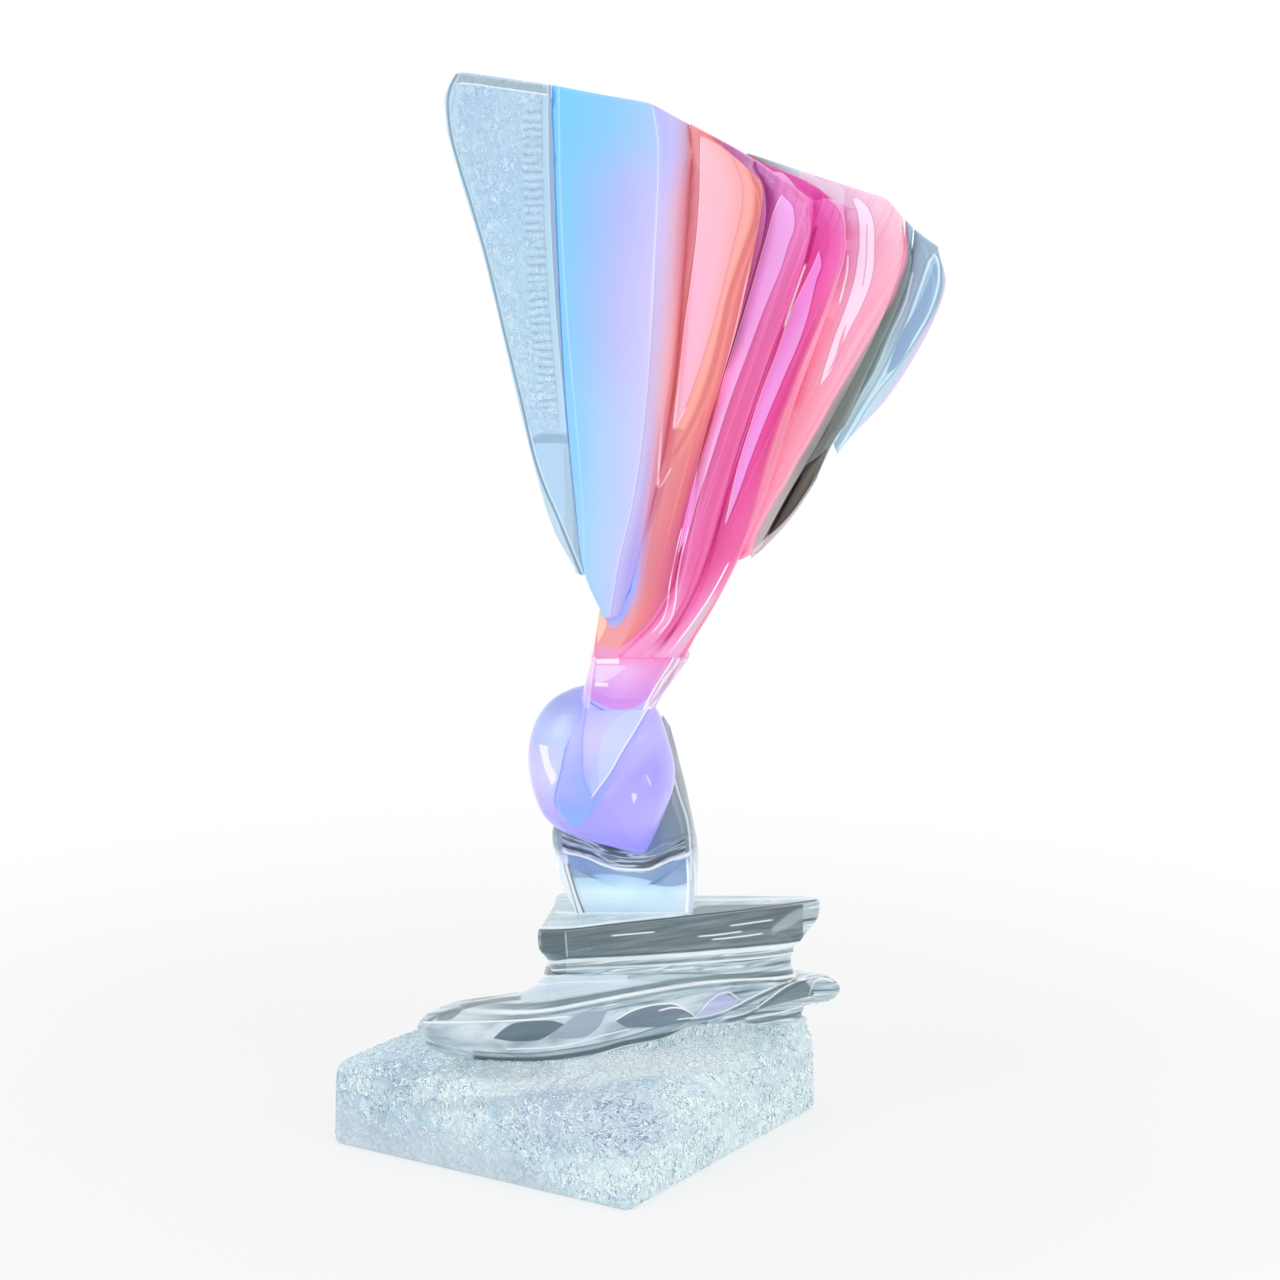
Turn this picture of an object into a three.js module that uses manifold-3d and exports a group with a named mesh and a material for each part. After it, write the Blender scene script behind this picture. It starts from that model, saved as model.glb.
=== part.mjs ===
// Acrylic fan sculpture: a pleated fan of dyed sheet on a tongue, a bulb, a pedestal and a carved base.
// Millimetres, +Z up. The origin is the middle of the plinth's underside, and the plinth's sides lie
// along X and Y. Everything above the plinth is turned by `facing` about the vertical. In that turned
// frame x runs across the fan, y runs from its front to its back, and heights stack up from the table.

import * as THREE from 'three';
import { mergeVertices } from 'three/addons/utils/BufferGeometryUtils.js';
import Module from 'manifold-3d';

const wasm = await Module();
wasm.setup();

// Driving dimensions

const facing = THREE.MathUtils.degToRad(33.64);
const bondLine = 0.3;           // cement film between two bonded pieces
const pocketClearance = 0.5;    // play round a piece that is let into another

const plinthSide = 203;
const plinthEdgeHeight = 46;    // upright side of the plinth, up to its soft shoulder
const plinthHeight = 56;        // seat of the carved tiers
const plinthCorner = 5;
const plinthChamfer = 1;
const plinthBatter = 1.2;
const shoulderSide = 5;         // width of the soft shoulder along the sides
const shoulderFront = 15;       // and at the corner that faces the viewer
const shoulderSpread = 0.5;     // radians over which the one runs into the other
const rearDrop = 14;            // fall of the plinth's shoulder at its rear corner
const rearSpread = 0.8;         // radians over which it falls
const seatMargin = 4;
const plinthHub = 20;           // along the fan's width, the middle of the plinth's rings

const waveTierHeight = 46;
const upperTierHeight = 32;
const lipThickness = 11;
const fluteDepth = 1.1;
const fluteCount = 3;
const tierHub = 50;             // along the fan's width, the middle of the carved tiers
const upperEdgeChamfer = 1;

const pedestalFront = -24;
const pedestalBack = 15;
const pedestalChamfer = 4;

const bulbCentreHeight = 80;    // above the pedestal's foot
const bulbDepth = 54;
const bulbSetback = -12;

const bladeFront = -50;         // front face of the tongue and the neck
const bladeDepth = 24;          // thickness of the tongue and the neck
const bladeEdge = 3;            // chamfer along the right of the front face
const tongueTopRise = 48;       // top of the tongue above the bulb's middle
const tongueLength = 68;
const settleFrom = 0.6;         // share of its length where the tongue's tip starts to lean back
const tongueRise = 6;
const neckHeight = 29;

const fanRise = 318;            // upper left corner of the fan above the neck
const sheet = 12;               // thickness of the fan's sheet
const sheetEdge = 4;            // rounding of the sheet's free edges
const crestRadius = 7;
const shoulderRadius = 3;
const shoulderRun = 5;
const shoulderRise = 6;
const backFlute = 3;            // hollow behind each crest
const pinkRimRise = 6.5;        // arch of the pink pleat's rim
const clearStart = 1;           // station of a fold line where each short pleat's lower end lies
const pinkStart = 1.4;
const tipStart = 3;
const lowEndRound = 0.6;        // bluntness of a pleat's lower end, where 1 is a half round

const aroundTier = 56;
const rowsTier = 20;
const rowsFan = 19;
const fewestRows = 6;

// Heights that follow from the stack

const tierJoint = plinthHeight + waveTierHeight;
const pedestalFoot = tierJoint + upperTierHeight;
const bulbCentre = pedestalFoot + bulbCentreHeight;
const tongueTop = bulbCentre + tongueTopRise;
const neckTop = tongueTop + neckHeight;

// Geometry helpers

const vec = (x, y, z) => new THREE.Vector3(x, y, z);
const mix = (a, b, s) => a + (b - a) * s;
const clamp01 = (s) => Math.min(1, Math.max(0, s));

// A closed body from position triples and triangle indices, with its faces pointing out
function body(points, faces) {
  let volume = 0;
  for (let i = 0; i < faces.length; i += 3) {
    const [a, b, c] = [points[faces[i]], points[faces[i + 1]], points[faces[i + 2]]];
    volume += a.dot(b.clone().cross(c));
  }
  const turned = [];
  for (let i = 0; i < faces.length; i += 3) {
    const [a, b, c] = faces.slice(i, i + 3);
    turned.push(...(volume < 0 ? [a, c, b] : [a, b, c]));
  }
  const geometry = new THREE.BufferGeometry();
  const flat = points.flatMap((p) => [p.x, p.y, p.z]);
  geometry.setAttribute('position', new THREE.Float32BufferAttribute(flat, 3));
  geometry.setIndex(turned);
  return geometry;
}

// Skin over a stack of closed rings of equal count. `cap` gives the triangles that close one ring.
function loft(rings, cap = fanCap) {
  const count = rings[0].length;
  const points = rings.flat();
  const faces = [];
  for (let r = 0; r + 1 < rings.length; r += 1) {
    for (let i = 0; i < count; i += 1) {
      const j = (i + 1) % count;
      const [a, b] = [r * count + i, r * count + j];
      const [c, d] = [a + count, b + count];
      faces.push(a, b, d, a, d, c);
    }
  }
  const top = (rings.length - 1) * count;
  faces.push(...cap(rings[0], 0, true, points));
  faces.push(...cap(rings[rings.length - 1], top, false, points));
  return body(points, faces);
}

// Closes a ring that is star-shaped about its middle
function fanCap(ring, start, isFirst, points) {
  const middle = ring.reduce((sum, p) => sum.add(p), vec(0, 0, 0)).divideScalar(ring.length);
  const hub = points.push(middle) - 1;
  return ring.flatMap((_, i) => {
    const j = (i + 1) % ring.length;
    return isFirst ? [hub, start + j, start + i] : [hub, start + i, start + j];
  });
}

// Closes a ring whose second half runs back along its first half, as a sheet's section does
function stripCap(ring, start, isFirst) {
  const half = ring.length / 2;
  const faces = [];
  for (let i = 0; i + 1 < half; i += 1) {
    const [a, b] = [start + i, start + i + 1];
    const [c, d] = [start + ring.length - 1 - i, start + ring.length - 2 - i];
    faces.push(...(isFirst ? [a, d, b, a, c, d] : [a, b, d, a, d, c]));
  }
  return faces;
}

function toManifold(geometry) {
  const bare = new THREE.BufferGeometry();
  bare.setAttribute('position', geometry.getAttribute('position'));
  bare.setIndex(geometry.getIndex());
  const merged = mergeVertices(bare);
  const mesh = new wasm.Mesh({
    numProp: 3,
    vertProperties: Float32Array.from(merged.getAttribute('position').array),
    triVerts: Uint32Array.from(merged.getIndex().array),
  });
  return new wasm.Manifold(mesh);
}

function fromManifold(solid) {
  const mesh = solid.getMesh();
  const geometry = new THREE.BufferGeometry();
  geometry.setAttribute('position', new THREE.Float32BufferAttribute(mesh.vertProperties, 3));
  geometry.setIndex(Array.from(mesh.triVerts));
  return geometry;
}

// The same body grown by a clearance, for the pocket that it is bonded into
function grown(geometry, clearance) {
  const copy = geometry.clone();
  copy.computeVertexNormals();
  const position = copy.getAttribute('position');
  const normal = copy.getAttribute('normal');
  for (let i = 0; i < position.count; i += 1) {
    position.setXYZ(
      i,
      position.getX(i) + normal.getX(i) * clearance,
      position.getY(i) + normal.getY(i) * clearance,
      position.getZ(i) + normal.getZ(i) * clearance,
    );
  }
  copy.deleteAttribute('normal');
  return copy;
}

// `geometry` with a pocket for each of the pieces bonded into it
function pocketed(geometry, ...pieces) {
  let solid = toManifold(geometry);
  for (const piece of pieces) solid = solid.subtract(toManifold(grown(piece, pocketClearance)));
  return fromManifold(solid);
}

// Closed curve through [x, y] stations at one height, or [x, y, rise] stations above it
function closedCurve(stations, height) {
  const points = stations.map(([x, y, rise = 0]) => vec(x, y, height + rise));
  return new THREE.CatmullRomCurve3(points, true, 'centripetal');
}

// Rings of a tier: each place round the closed curves is faired upwards by an open curve
function tierRings(curves, ripple) {
  const rings = Array.from({ length: rowsTier + 1 }, () => []);
  for (let i = 0; i < aroundTier; i += 1) {
    const u = i / aroundTier;
    const upwards = new THREE.CatmullRomCurve3(curves.map((curve) => curve.getPoint(u)));
    const hub = vec(tierHub, 0, 0);
    rings.forEach((ring, row) => {
      const v = row / rowsTier;
      const point = upwards.getPoint(v);
      const outwards = point.clone().sub(hub).setZ(0).normalize();
      ring.push(point.addScaledVector(outwards, ripple(u, v)));
    });
  }
  return rings;
}

// Plinth: a square block with a soft shoulder that swells up to the seat of the carved tiers

const waveFoot = [
  [-86, -20], [-68, -42], [-21, -50], [25, -37], [66, -18], [98, 2],
  [131, 25], [114, 36], [66, 44], [15, 44], [-38, 32], [-74, 6],
];

// Rings between the plinth's side and the foot of its shoulder: [share of the rise from the upright
// side to the seat, share of the shoulder's width]
const shoulderRings = [[-0.18, 0.12], [0.12, 0.4]];

// Rings above them: [share of the same rise, share of the way from the shoulder to the seat]
const swellRings = [[0.42, 0.1], [0.72, 0.45], [0.92, 0.8], [1, 1]];

function roundedSquare(side, corner, cornerSteps, sideSteps) {
  const points = [];
  const inner = side / 2 - corner;
  for (let k = 0; k < 4; k += 1) {
    const turn = (k * Math.PI) / 2;
    const cx = inner * (Math.cos(turn) - Math.sin(turn));
    const cy = inner * (Math.sin(turn) + Math.cos(turn));
    for (let s = 0; s <= cornerSteps; s += 1) {
      const angle = turn + (s / cornerSteps) * (Math.PI / 2);
      points.push([cx + corner * Math.cos(angle), cy + corner * Math.sin(angle)]);
    }
    for (let s = 1; s < sideSteps; s += 1) {
      const along = inner - (2 * inner * s) / sideSteps;
      const [x, y] = [along, side / 2];
      points.push([x * Math.cos(turn) - y * Math.sin(turn), x * Math.sin(turn) + y * Math.cos(turn)]);
    }
  }
  return points;
}

// Distance from `hub` to a closed outline in the direction of `angle`
function reach(outline, hub, angle) {
  const [dx, dy] = [Math.cos(angle), Math.sin(angle)];
  let farthest = 0;
  outline.forEach(([ax, ay], i) => {
    const [bx, by] = outline[(i + 1) % outline.length];
    const [ex, ey] = [bx - ax, by - ay];
    const cross = dx * ey - dy * ex;
    const along = ((ax - hub[0]) * ey - (ay - hub[1]) * ex) / cross;
    const onEdge = ((ax - hub[0]) * dy - (ay - hub[1]) * dx) / cross;
    if (along > 0 && onEdge >= 0 && onEdge <= 1) farthest = Math.max(farthest, along);
  });
  return farthest;
}

function makePlinth() {
  const square = roundedSquare(plinthSide, plinthCorner, 4, 6);
  const seat = closedCurve(waveFoot, 0).getPoints(120).map((p) => {
    p.applyAxisAngle(vec(0, 0, 1), facing);
    return [p.x, p.y];
  });
  const hub = [plinthHub * Math.cos(facing), plinthHub * Math.sin(facing)];
  const frontAngle = -Math.PI / 4;
  const rearAngle = (3 * Math.PI) / 4;
  const stations = square.map(([x, y]) => {
    const angle = Math.atan2(y - hub[1], x - hub[0]);
    const full = Math.hypot(x - hub[0], y - hub[1]);
    const nearFront = Math.exp(-(((angle - frontAngle) / shoulderSpread) ** 2));
    const shoulder = mix(shoulderSide, shoulderFront, nearFront);
    const seatReach = Math.min(reach(seat, hub, angle) + seatMargin, full - shoulder);
    const fromRear = Math.acos(Math.cos(angle - rearAngle));
    const drop = rearDrop * Math.exp(-((fromRear / rearSpread) ** 2));
    return { angle, full, shoulder, seatReach, drop };
  });
  const ring = (height, reachOf, dropShare = 0) => stations.map((s) => {
    const far = reachOf(s);
    const level = height - dropShare * s.drop;
    return vec(hub[0] + far * Math.cos(s.angle), hub[1] + far * Math.sin(s.angle), level);
  });
  const heightAt = (share) => mix(plinthEdgeHeight, plinthHeight, share);
  return loft([
    ring(0, (s) => s.full - plinthChamfer),
    ring(plinthChamfer, (s) => s.full),
    ring(plinthEdgeHeight - shoulderSide, (s) => s.full - plinthBatter, 1),
    ...shoulderRings.map(([rise, inwards]) => (
      ring(heightAt(rise), (s) => s.full - plinthBatter - s.shoulder * inwards, 1)
    )),
    ...swellRings.map(([rise, inwards]) => (
      ring(heightAt(rise), (s) => mix(s.full - s.shoulder, s.seatReach, inwards), 1 - inwards)
    )),
  ]);
}

// Wave tier: carved from the seat out to a wavy lip and in again to the waist. Its stations run from
// the left tip along the front to the right lip and back along the rear, as [x, y] or [x, y, rise].

const waist = [
  [-16, -8], [-12, -30], [10, -32], [36, -32], [66, -32], [100, -32],
  [122, -14], [119, 8], [80, 17], [40, 18], [0, 18], [-14, 10],
];

const waveLip = [
  [-92, -22, 10], [-72, -45, 12], [-22, -54, 17], [27, -44, 22], [70, -34, 26], [108, -16, 25],
  [154, 20, 19], [142, 34, 19], [80, 52, 18], [15, 50, 13], [-42, 34, 7], [-80, 8, 9],
];

const waveCove = [
  [-56, -14, 25], [-44, -34, 25], [-14, -41, 30], [26, -36, 35], [66, -34, 39], [102, -31, 40],
  [136, 6, 31], [128, 24, 30], [76, 38, 28], [12, 36, 22], [-30, 22, 15], [-52, 2, 19],
];

const waveDrawnHeight = 46;     // height of the tier that the rises are given for
const bellyShare = 0.12;        // way out from the seat to the lip, half-way up to it
const neckingShare = 0.8;       // way in from the cove to the waist
const neckingRise = 0.26;

function makeWaveTier() {
  const base = plinthHeight + bondLine;
  const scale = (waveTierHeight - 2 * bondLine) / waveDrawnHeight;
  const lifted = (stations, lift, pull) => stations.map(([x, y, rise]) => {
    const away = vec(x - tierHub, y, 0).normalize();
    return [x - away.x * pull, y - away.y * pull, (rise + lift) * scale];
  });
  const towardsWaist = waveCove.map(([x, y, rise], i) => [
    mix(x, waist[i][0], neckingShare),
    mix(y, waist[i][1], neckingShare),
    mix(rise, waveDrawnHeight, neckingRise) * scale,
  ]);
  const half = lipThickness / 2;
  const upperHalf = half * 1.3;
  const belly = waveFoot.map(([x, y], i) => [
    mix(x, waveLip[i][0], bellyShare), mix(y, waveLip[i][1], bellyShare), (waveLip[i][2] / 2) * scale,
  ]);
  const curves = [
    closedCurve(waveFoot, base),
    closedCurve(belly, base),
    closedCurve(lifted(waveLip, -half, half), base),
    closedCurve(lifted(waveLip, 0, 0), base),
    closedCurve(lifted(waveLip, upperHalf, half), base),
    closedCurve(lifted(waveCove, 0, 0), base),
    closedCurve(towardsWaist, base),
    closedCurve(waist, tierJoint - bondLine),
  ];
  const ripple = (u, v) => {
    const window = Math.sin(Math.PI * clamp01((v - 0.5) / 0.5));
    return fluteDepth * window * Math.cos(2 * Math.PI * (fluteCount * v * 2 + u));
  };
  return loft(tierRings(curves, ripple));
}

// Upper tier: a thick slab whose top edge is turned against its waist

const upperEdge = [
  [-19, -36], [-21, -51], [13, -38], [60, -25], [103, -11], [138, 2],
  [139, 11], [104, 14], [70, 17], [28, 20], [-9, 22], [-13, 0],
];

// Rings between its waist and its edge: [share of the height, share of the way out]
const upperRings = [[0, 0], [0.2, 0.12], [0.42, 0.55], [0.66, 0.97], [0.97, 1]];

function makeUpperTier() {
  const ringAt = ([rise, outwards]) => closedCurve(waist.map(([x, y], i) => [
    mix(x, upperEdge[i][0], outwards), mix(y, upperEdge[i][1], outwards),
  ]), mix(tierJoint, pedestalFoot, rise));
  const topEdge = upperEdge.map(([x, y]) => {
    const away = vec(x - tierHub, y, 0).normalize();
    return [x - away.x * upperEdgeChamfer, y - away.y * upperEdgeChamfer];
  });
  const curves = [...upperRings.map(ringAt), closedCurve(topEdge, pedestalFoot)];
  const ripple = (u, v) => fluteDepth * Math.sin(Math.PI * clamp01(v / 0.4)) * Math.cos(12 * Math.PI * v);
  return loft(tierRings(curves, ripple));
}

// Outline in the fan's plane, [x, height], as a smooth ring of points at one depth
function uprightRing(stations, depth, foot, count) {
  const points = stations.map(([x, rise]) => vec(x, depth, foot + rise));
  const curve = new THREE.CatmullRomCurve3(points, true, 'centripetal');
  return Array.from({ length: count }, (_, i) => curve.getPoint(i / count));
}

// Bulb: a plump lens with a straight foot that ends in a corner at the right

const bulbOutline = [
  [4, 52], [-12, 45], [-22, 33], [-27, 14], [-25, -6], [-18, -24], [-8, -32], [12, -39], [30, -44],
  [38, -46], [42, -40], [49, -24], [55, -8], [56, 4], [51, 24], [45, 40], [28, 51],
];

const bulbMiddle = [13, 2];
const bulbFullness = 0.82;      // 1 is a half-round edge, less is a fuller one
const bulbSweep = 86;           // degrees from the middle to the last ring

function makeBulb() {
  const steps = 7;
  const rings = [];
  for (let k = 0; k <= steps * 2; k += 1) {
    const angle = mix(-bulbSweep, bulbSweep, k / (steps * 2));
    const turn = THREE.MathUtils.degToRad(angle);
    const size = Math.cos(turn) ** bulbFullness;
    const stations = bulbOutline.map(([x, rise]) => [
      mix(bulbMiddle[0], x, size), mix(bulbMiddle[1], rise, size),
    ]);
    rings.push(uprightRing(stations, bulbSetback + (bulbDepth / 2) * Math.sin(turn), bulbCentre, 40));
  }
  return loft(rings);
}

// Pedestal: chamfered at its front, low in front of the bulb and rising to a horn behind it

const pedestalLow = [
  [0, 0], [4, 0], [62, 0], [66, 0], [66.5, 4], [67, 20], [65, 31],
  [57, 26], [43, 15], [28, 14], [11, 20], [-9, 30], [-9, 20], [-2, 4],
];

const pedestalHigh = [
  [-3, 0], [1, 0], [65, 0], [69, 0], [70, 5], [70, 30], [66, 52],
  [60, 78], [50, 108], [40, 96], [16, 66], [-12, 46], [-13, 28], [-5, 4],
];

const pedestalMiddle = [30, 18];

// Rings between its front and its back: [share of the depth, share of the way from low to high]
const pedestalRings = [[0.3, 0.12], [0.5, 0.42], [0.7, 0.8], [0.85, 1]];

function makePedestal(bulb) {
  const foot = pedestalFoot + bondLine;
  const share = (s) => pedestalLow.map(([x, rise], i) => [
    mix(x, pedestalHigh[i][0], s), mix(rise, pedestalHigh[i][1], s),
  ]);
  const inset = (stations, pull) => stations.map(([x, rise]) => {
    const away = vec(x - pedestalMiddle[0], rise - pedestalMiddle[1], 0).normalize();
    return [x - away.x * pull, Math.max(0, rise - away.y * pull)];
  });
  const ring = (depth, stations) => uprightRing(stations, depth, foot, 42).map((p) => {
    p.z = Math.max(p.z, foot);
    return p;
  });
  const block = loft([
    ring(pedestalFront, inset(share(0), pedestalChamfer)),
    ring(pedestalFront + pedestalChamfer, share(0)),
    ...pedestalRings.map(([depth, grade]) => ring(mix(pedestalFront, pedestalBack, depth), share(grade))),
    ring(pedestalBack - pedestalChamfer / 2, share(1)),
    ring(pedestalBack, inset(share(1), pedestalChamfer / 2)),
  ]);
  return pocketed(block, bulb);
}

// Tongue: a tapering blade with a sloped left flank, rounded at its tip and let into the bulb.
// Stations: [share of the length down from the neck, left side, left edge of the front face, right side]

const tongueStations = [
  [0, 3, 7, 44], [0.18, 0, 5.5, 37], [0.38, -6, 4, 30], [0.59, -9, 4, 22], [0.76, -12, 5, 14],
  [0.87, -12, 3, 10], [0.94, -10, 0, 6], [0.985, -7, -2, 2],
];

function bladeSection(left, faceLeft, right, front, height) {
  const back = front + bladeDepth;
  const middle = mix(front, back, 0.55);
  const chamfer = Math.min(bladeEdge, (right - faceLeft) / 3);
  return [
    vec(left, back, height), vec(left, middle, height),
    vec(mix(left, faceLeft, 0.85), front + bladeEdge / 2, height),
    vec(mix(faceLeft, right, 0.06), front, height),
    vec(right - chamfer, front, height), vec(right, front + bladeEdge, height),
    vec(right, middle, height), vec(right, back, height),
  ];
}

function makeTongue() {
  const rings = tongueStations.map(([down, left, faceLeft, right]) => {
    const settle = tongueRise * Math.max(0, down - settleFrom) ** 2;
    const height = tongueTop - bondLine - down * tongueLength;
    return bladeSection(left, faceLeft, right, bladeFront + settle, height);
  });
  return loft(rings);
}

// Neck: gathers the three pleats that reach down to it and passes them to the tongue

const neckStations = [
  [0, 3, 7, 44], [0.25, 5, 8, 48], [0.5, 7, 9, 53], [0.75, 8.5, 10, 58], [1, 9.5, 11, 63.5],
];

function makeNeck() {
  const rings = neckStations.map(([share, left, faceLeft, right]) => (
    bladeSection(left, faceLeft, right, bladeFront, mix(tongueTop, neckTop - bondLine, share))
  ));
  return loft(rings);
}

// Fan. Every fold line has seven stations [x, depth behind the neck's front, height above the neck],
// at like places up the fan.

const fanDrawnRise = 318;       // `fanRise` of the fan that the stations are given for

const clearEdge = [
  [6, 3, 34], [0, 4, 49], [-12, 6, 71], [-25, 10, 116], [-48, 19, 215], [-71, 27, 305], [-66, 29, 318],
];
const clearSeam = [
  [15, 0, 26], [5, 3, 48], [0, 7, 89], [-5, 12, 144], [-9, 20, 226], [-11, 26, 290], [-12, 28, 310],
];
const blueCrest = [
  [19, -1, 25], [24, -2, 46], [32, 4, 86], [39, 9, 144], [44, 17, 226], [46, 22, 280], [43, 25, 302],
];
const violetEdge = [
  [24, 1, 26], [36, 13, 48], [45, 22, 85], [55, 28, 141], [62, 35, 223], [65, 37, 270], [64, 38, 287],
];
const coralEdge = [[10, 6, 0], [17, 10, 38], [42, 21, 82], ...violetEdge.slice(3)];
const coralCrest = [
  [18, 0, 0], [46, 6, 27], [59, 14, 76], [71, 20, 122], [94, 29, 196], [105.5, 32, 252], [90, 39, 274],
];
const lilacCrest = [
  [36, 0, 0], [63, 8, 31], [81, 16, 87], [98, 25, 135], [120, 38, 195], [131, 44, 233], [124, 55, 249],
];
const magentaCrest = [
  [54, 2, 0], [77, 13, 31], [104, 24, 85], [121, 36, 136],
  [143, 47, 193], [151, 54, 225], [141, 62, 245.5],
];
const pinkEdge = [
  [63, 6, 0], [81, 21, 31], [107, 35, 85], [123, 51, 136],
  [144, 66, 193], [151, 76, 222], [90, 82, 268],
];
const pinkCrest = [
  [62, 10, 10], [88, 20, 36], [120, 38, 88], [143, 48, 125],
  [171, 58, 177], [184, 64, 217], [176, 73, 236],
];
const smokeEdge = [
  [70, 16, 18], [87, 24, 40], [120, 42, 69], [147, 59, 111],
  [167, 71, 153], [187, 80, 197], [191, 85, 222.5],
];
const tipCrest = [
  [72, 12, 16], [88, 20, 38], [120, 37, 67], [148, 54, 108],
  [175, 65, 143], [202, 76, 192], [197, 82, 217.5],
];
const tipEdge = [
  [73, 16, 14], [88, 24, 36], [121, 41, 66], [149, 58, 106],
  [180, 70, 138], [209.5, 83, 195], [205.5, 88, 211.5],
];

// How far each pleat's crest stands over the valley behind it, at the seven stations
const tuck = [[6, 3, 0], [4, 8, 0], [3, 11, 0], [2, 14, 0], [1, 19, 0], [1, 21, 0], [10, 9, -8]];
const behind = (crest) => crest.map((station, i) => station.map((value, axis) => value + tuck[i][axis]));
const lastStation = tuck.length - 1;

const foldCurve = (stations) => new THREE.CatmullRomCurve3(
  stations.map(([x, depth, rise]) => (
    vec(x, bladeFront + depth, neckTop + (rise * fanRise) / fanDrawnRise)
  )), false, 'centripetal',
);

// Point of a fold line at station number `at`, which need not be whole
const onFold = (curve, at) => curve.getPoint(at / lastStation);

// Direction to the right of a fold line there, square to it as seen from the front
function beside(curve, at) {
  const upwards = curve.getTangent(at / lastStation);
  return vec(upwards.z, 0, -upwards.x).normalize();
}

const directionAcross = (left, right) => right.clone().sub(left).setY(0).normalize();

// Thickness of the sheet: it thickens into the neck
const thicknessAt = (at) => mix(bladeDepth, sheet, clamp01(at / 2) ** 0.6);

// Corner between two legs, rounded by a quadratic curve
function roundCorner(before, corner, after, radius, steps) {
  const start = corner.clone().lerp(before, Math.min(0.45, radius / corner.distanceTo(before)));
  const end = corner.clone().lerp(after, Math.min(0.6, radius / corner.distanceTo(after)));
  return new THREE.QuadraticBezierCurve3(start, corner, end).getPoints(steps);
}

// Half-round nose of a free edge: [step into the sheet, depth behind the front face] pairs
const nose = [90, 60, 30, 0].map((angle) => {
  const turn = THREE.MathUtils.degToRad(angle);
  return [sheetEdge * (1 - Math.cos(turn)), sheetEdge * (1 - Math.sin(turn))];
}).reverse();

// Front and back of the section of one pleat at a station
function pleatSection(pleat, at) {
  const left = onFold(pleat.left, at);
  const right = onFold(pleat.right, at);
  const across = directionAcross(left, right);
  left.addScaledVector(beside(pleat.left, at), pleat.freeLeft ? 0 : bondLine / 2);
  right.addScaledVector(beside(pleat.right, at), pleat.freeRight ? 0 : -bondLine / 2);
  const width = left.distanceTo(right);
  const front = [];
  if (pleat.freeLeft) {
    nose.forEach(([step, depth]) => {
      front.push(left.clone().addScaledVector(across, step).add(vec(0, depth, 0)));
    });
  } else {
    front.push(left);
  }
  const crest = pleat.crest ? onFold(pleat.crest, at) : left.clone().lerp(right, 0.5);
  let before = left;
  if (pleat.shoulder) {
    const run = Math.min(shoulderRun, width * 0.2);
    const rise = Math.min(shoulderRise * clamp01(at / 2), width * 0.3);
    const shoulder = left.clone().lerp(crest, Math.min(0.4, run / left.distanceTo(crest)));
    shoulder.y = Math.min(shoulder.y, Math.max(left.y - rise, crest.y));
    front.push(...roundCorner(left, shoulder, crest, shoulderRadius, 2));
    before = shoulder;
  } else {
    front.push(left.clone().lerp(crest, 0.5));
  }
  if (pleat.crest) {
    front.push(...roundCorner(before, crest, right, crestRadius, 4));
  } else {
    front.push(crest);
  }
  if (pleat.freeRight) {
    [...nose].reverse().forEach(([step, depth]) => {
      front.push(right.clone().addScaledVector(across, -step).add(vec(0, depth, 0)));
    });
  } else {
    front.push(right);
  }
  const back = backOf(front, left, right, pleat, thicknessAt(at), at);
  const arch = (pleat.rimRise ?? 0) * (at / lastStation) ** 4;
  [front, back].forEach((side) => side.forEach((p, i) => {
    p.z += arch * Math.sin((Math.PI * i) / (side.length - 1));
  }));
  return { front, back };
}

// Back of a section: it runs from joint to joint a sheet's thickness behind, hollowed behind the crest
function backOf(front, left, right, pleat, thickness, at) {
  const lengths = front.map((p, i) => (i ? p.distanceTo(front[i - 1]) : 0));
  const total = lengths.reduce((a, b) => a + b, 0);
  const hollow = pleat.crest ? backFlute * clamp01(at / 3) : 0;
  let run = 0;
  return front.map((p, i) => {
    run += lengths[i];
    const s = run / total;
    const point = left.clone().lerp(right, s);
    point.y += thickness - hollow * 4 * s * (1 - s);
    if (pleat.freeLeft && i < nose.length) {
      point.copy(left).addScaledVector(directionAcross(left, right), nose[i][0]);
      point.y = left.y + thickness - nose[i][1];
    }
    const fromEnd = front.length - 1 - i;
    if (pleat.freeRight && fromEnd < nose.length) {
      point.copy(right).addScaledVector(directionAcross(left, right), -nose[fromEnd][0]);
      point.y = right.y + thickness - nose[fromEnd][1];
    }
    return point;
  });
}

// Moves the nose of a free edge, the first points of one side of a section, towards the points after it
function drawNoseIn(points, pull) {
  const towards = points[nose.length].clone().sub(points[nose.length - 1]);
  towards.setLength(Math.min(pull, 0.45 * towards.length()));
  points.slice(0, nose.length).forEach((p) => p.add(towards));
}

// Section drawn in and moved on along the fan, for the rounding of an end. The corner of a free edge
// is drawn in too, which rounds it as seen from the front.
function roundedEnd({ front, back }, onwards, angle, pleat) {
  const turn = THREE.MathUtils.degToRad(angle);
  const pull = sheetEdge * (1 - Math.cos(turn));
  const lift = sheetEdge * Math.sin(turn);
  const moved = (points, towards) => points.map((p, i) => {
    const thick = p.distanceTo(towards[i]);
    const share = Math.min(0.45, pull / Math.max(thick, 1e-6));
    return p.clone().lerp(towards[i], share).addScaledVector(onwards, lift);
  });
  const section = { front: moved(front, back), back: moved(back, front) };
  Object.values(section).forEach((side) => {
    if (pleat.freeLeft) drawNoseIn(side, pull);
    if (pleat.freeRight) drawNoseIn([...side].reverse(), pull);
  });
  return section;
}

const middleOf = ({ front }) => front[0].clone().lerp(front[front.length - 1], 0.5);

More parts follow.
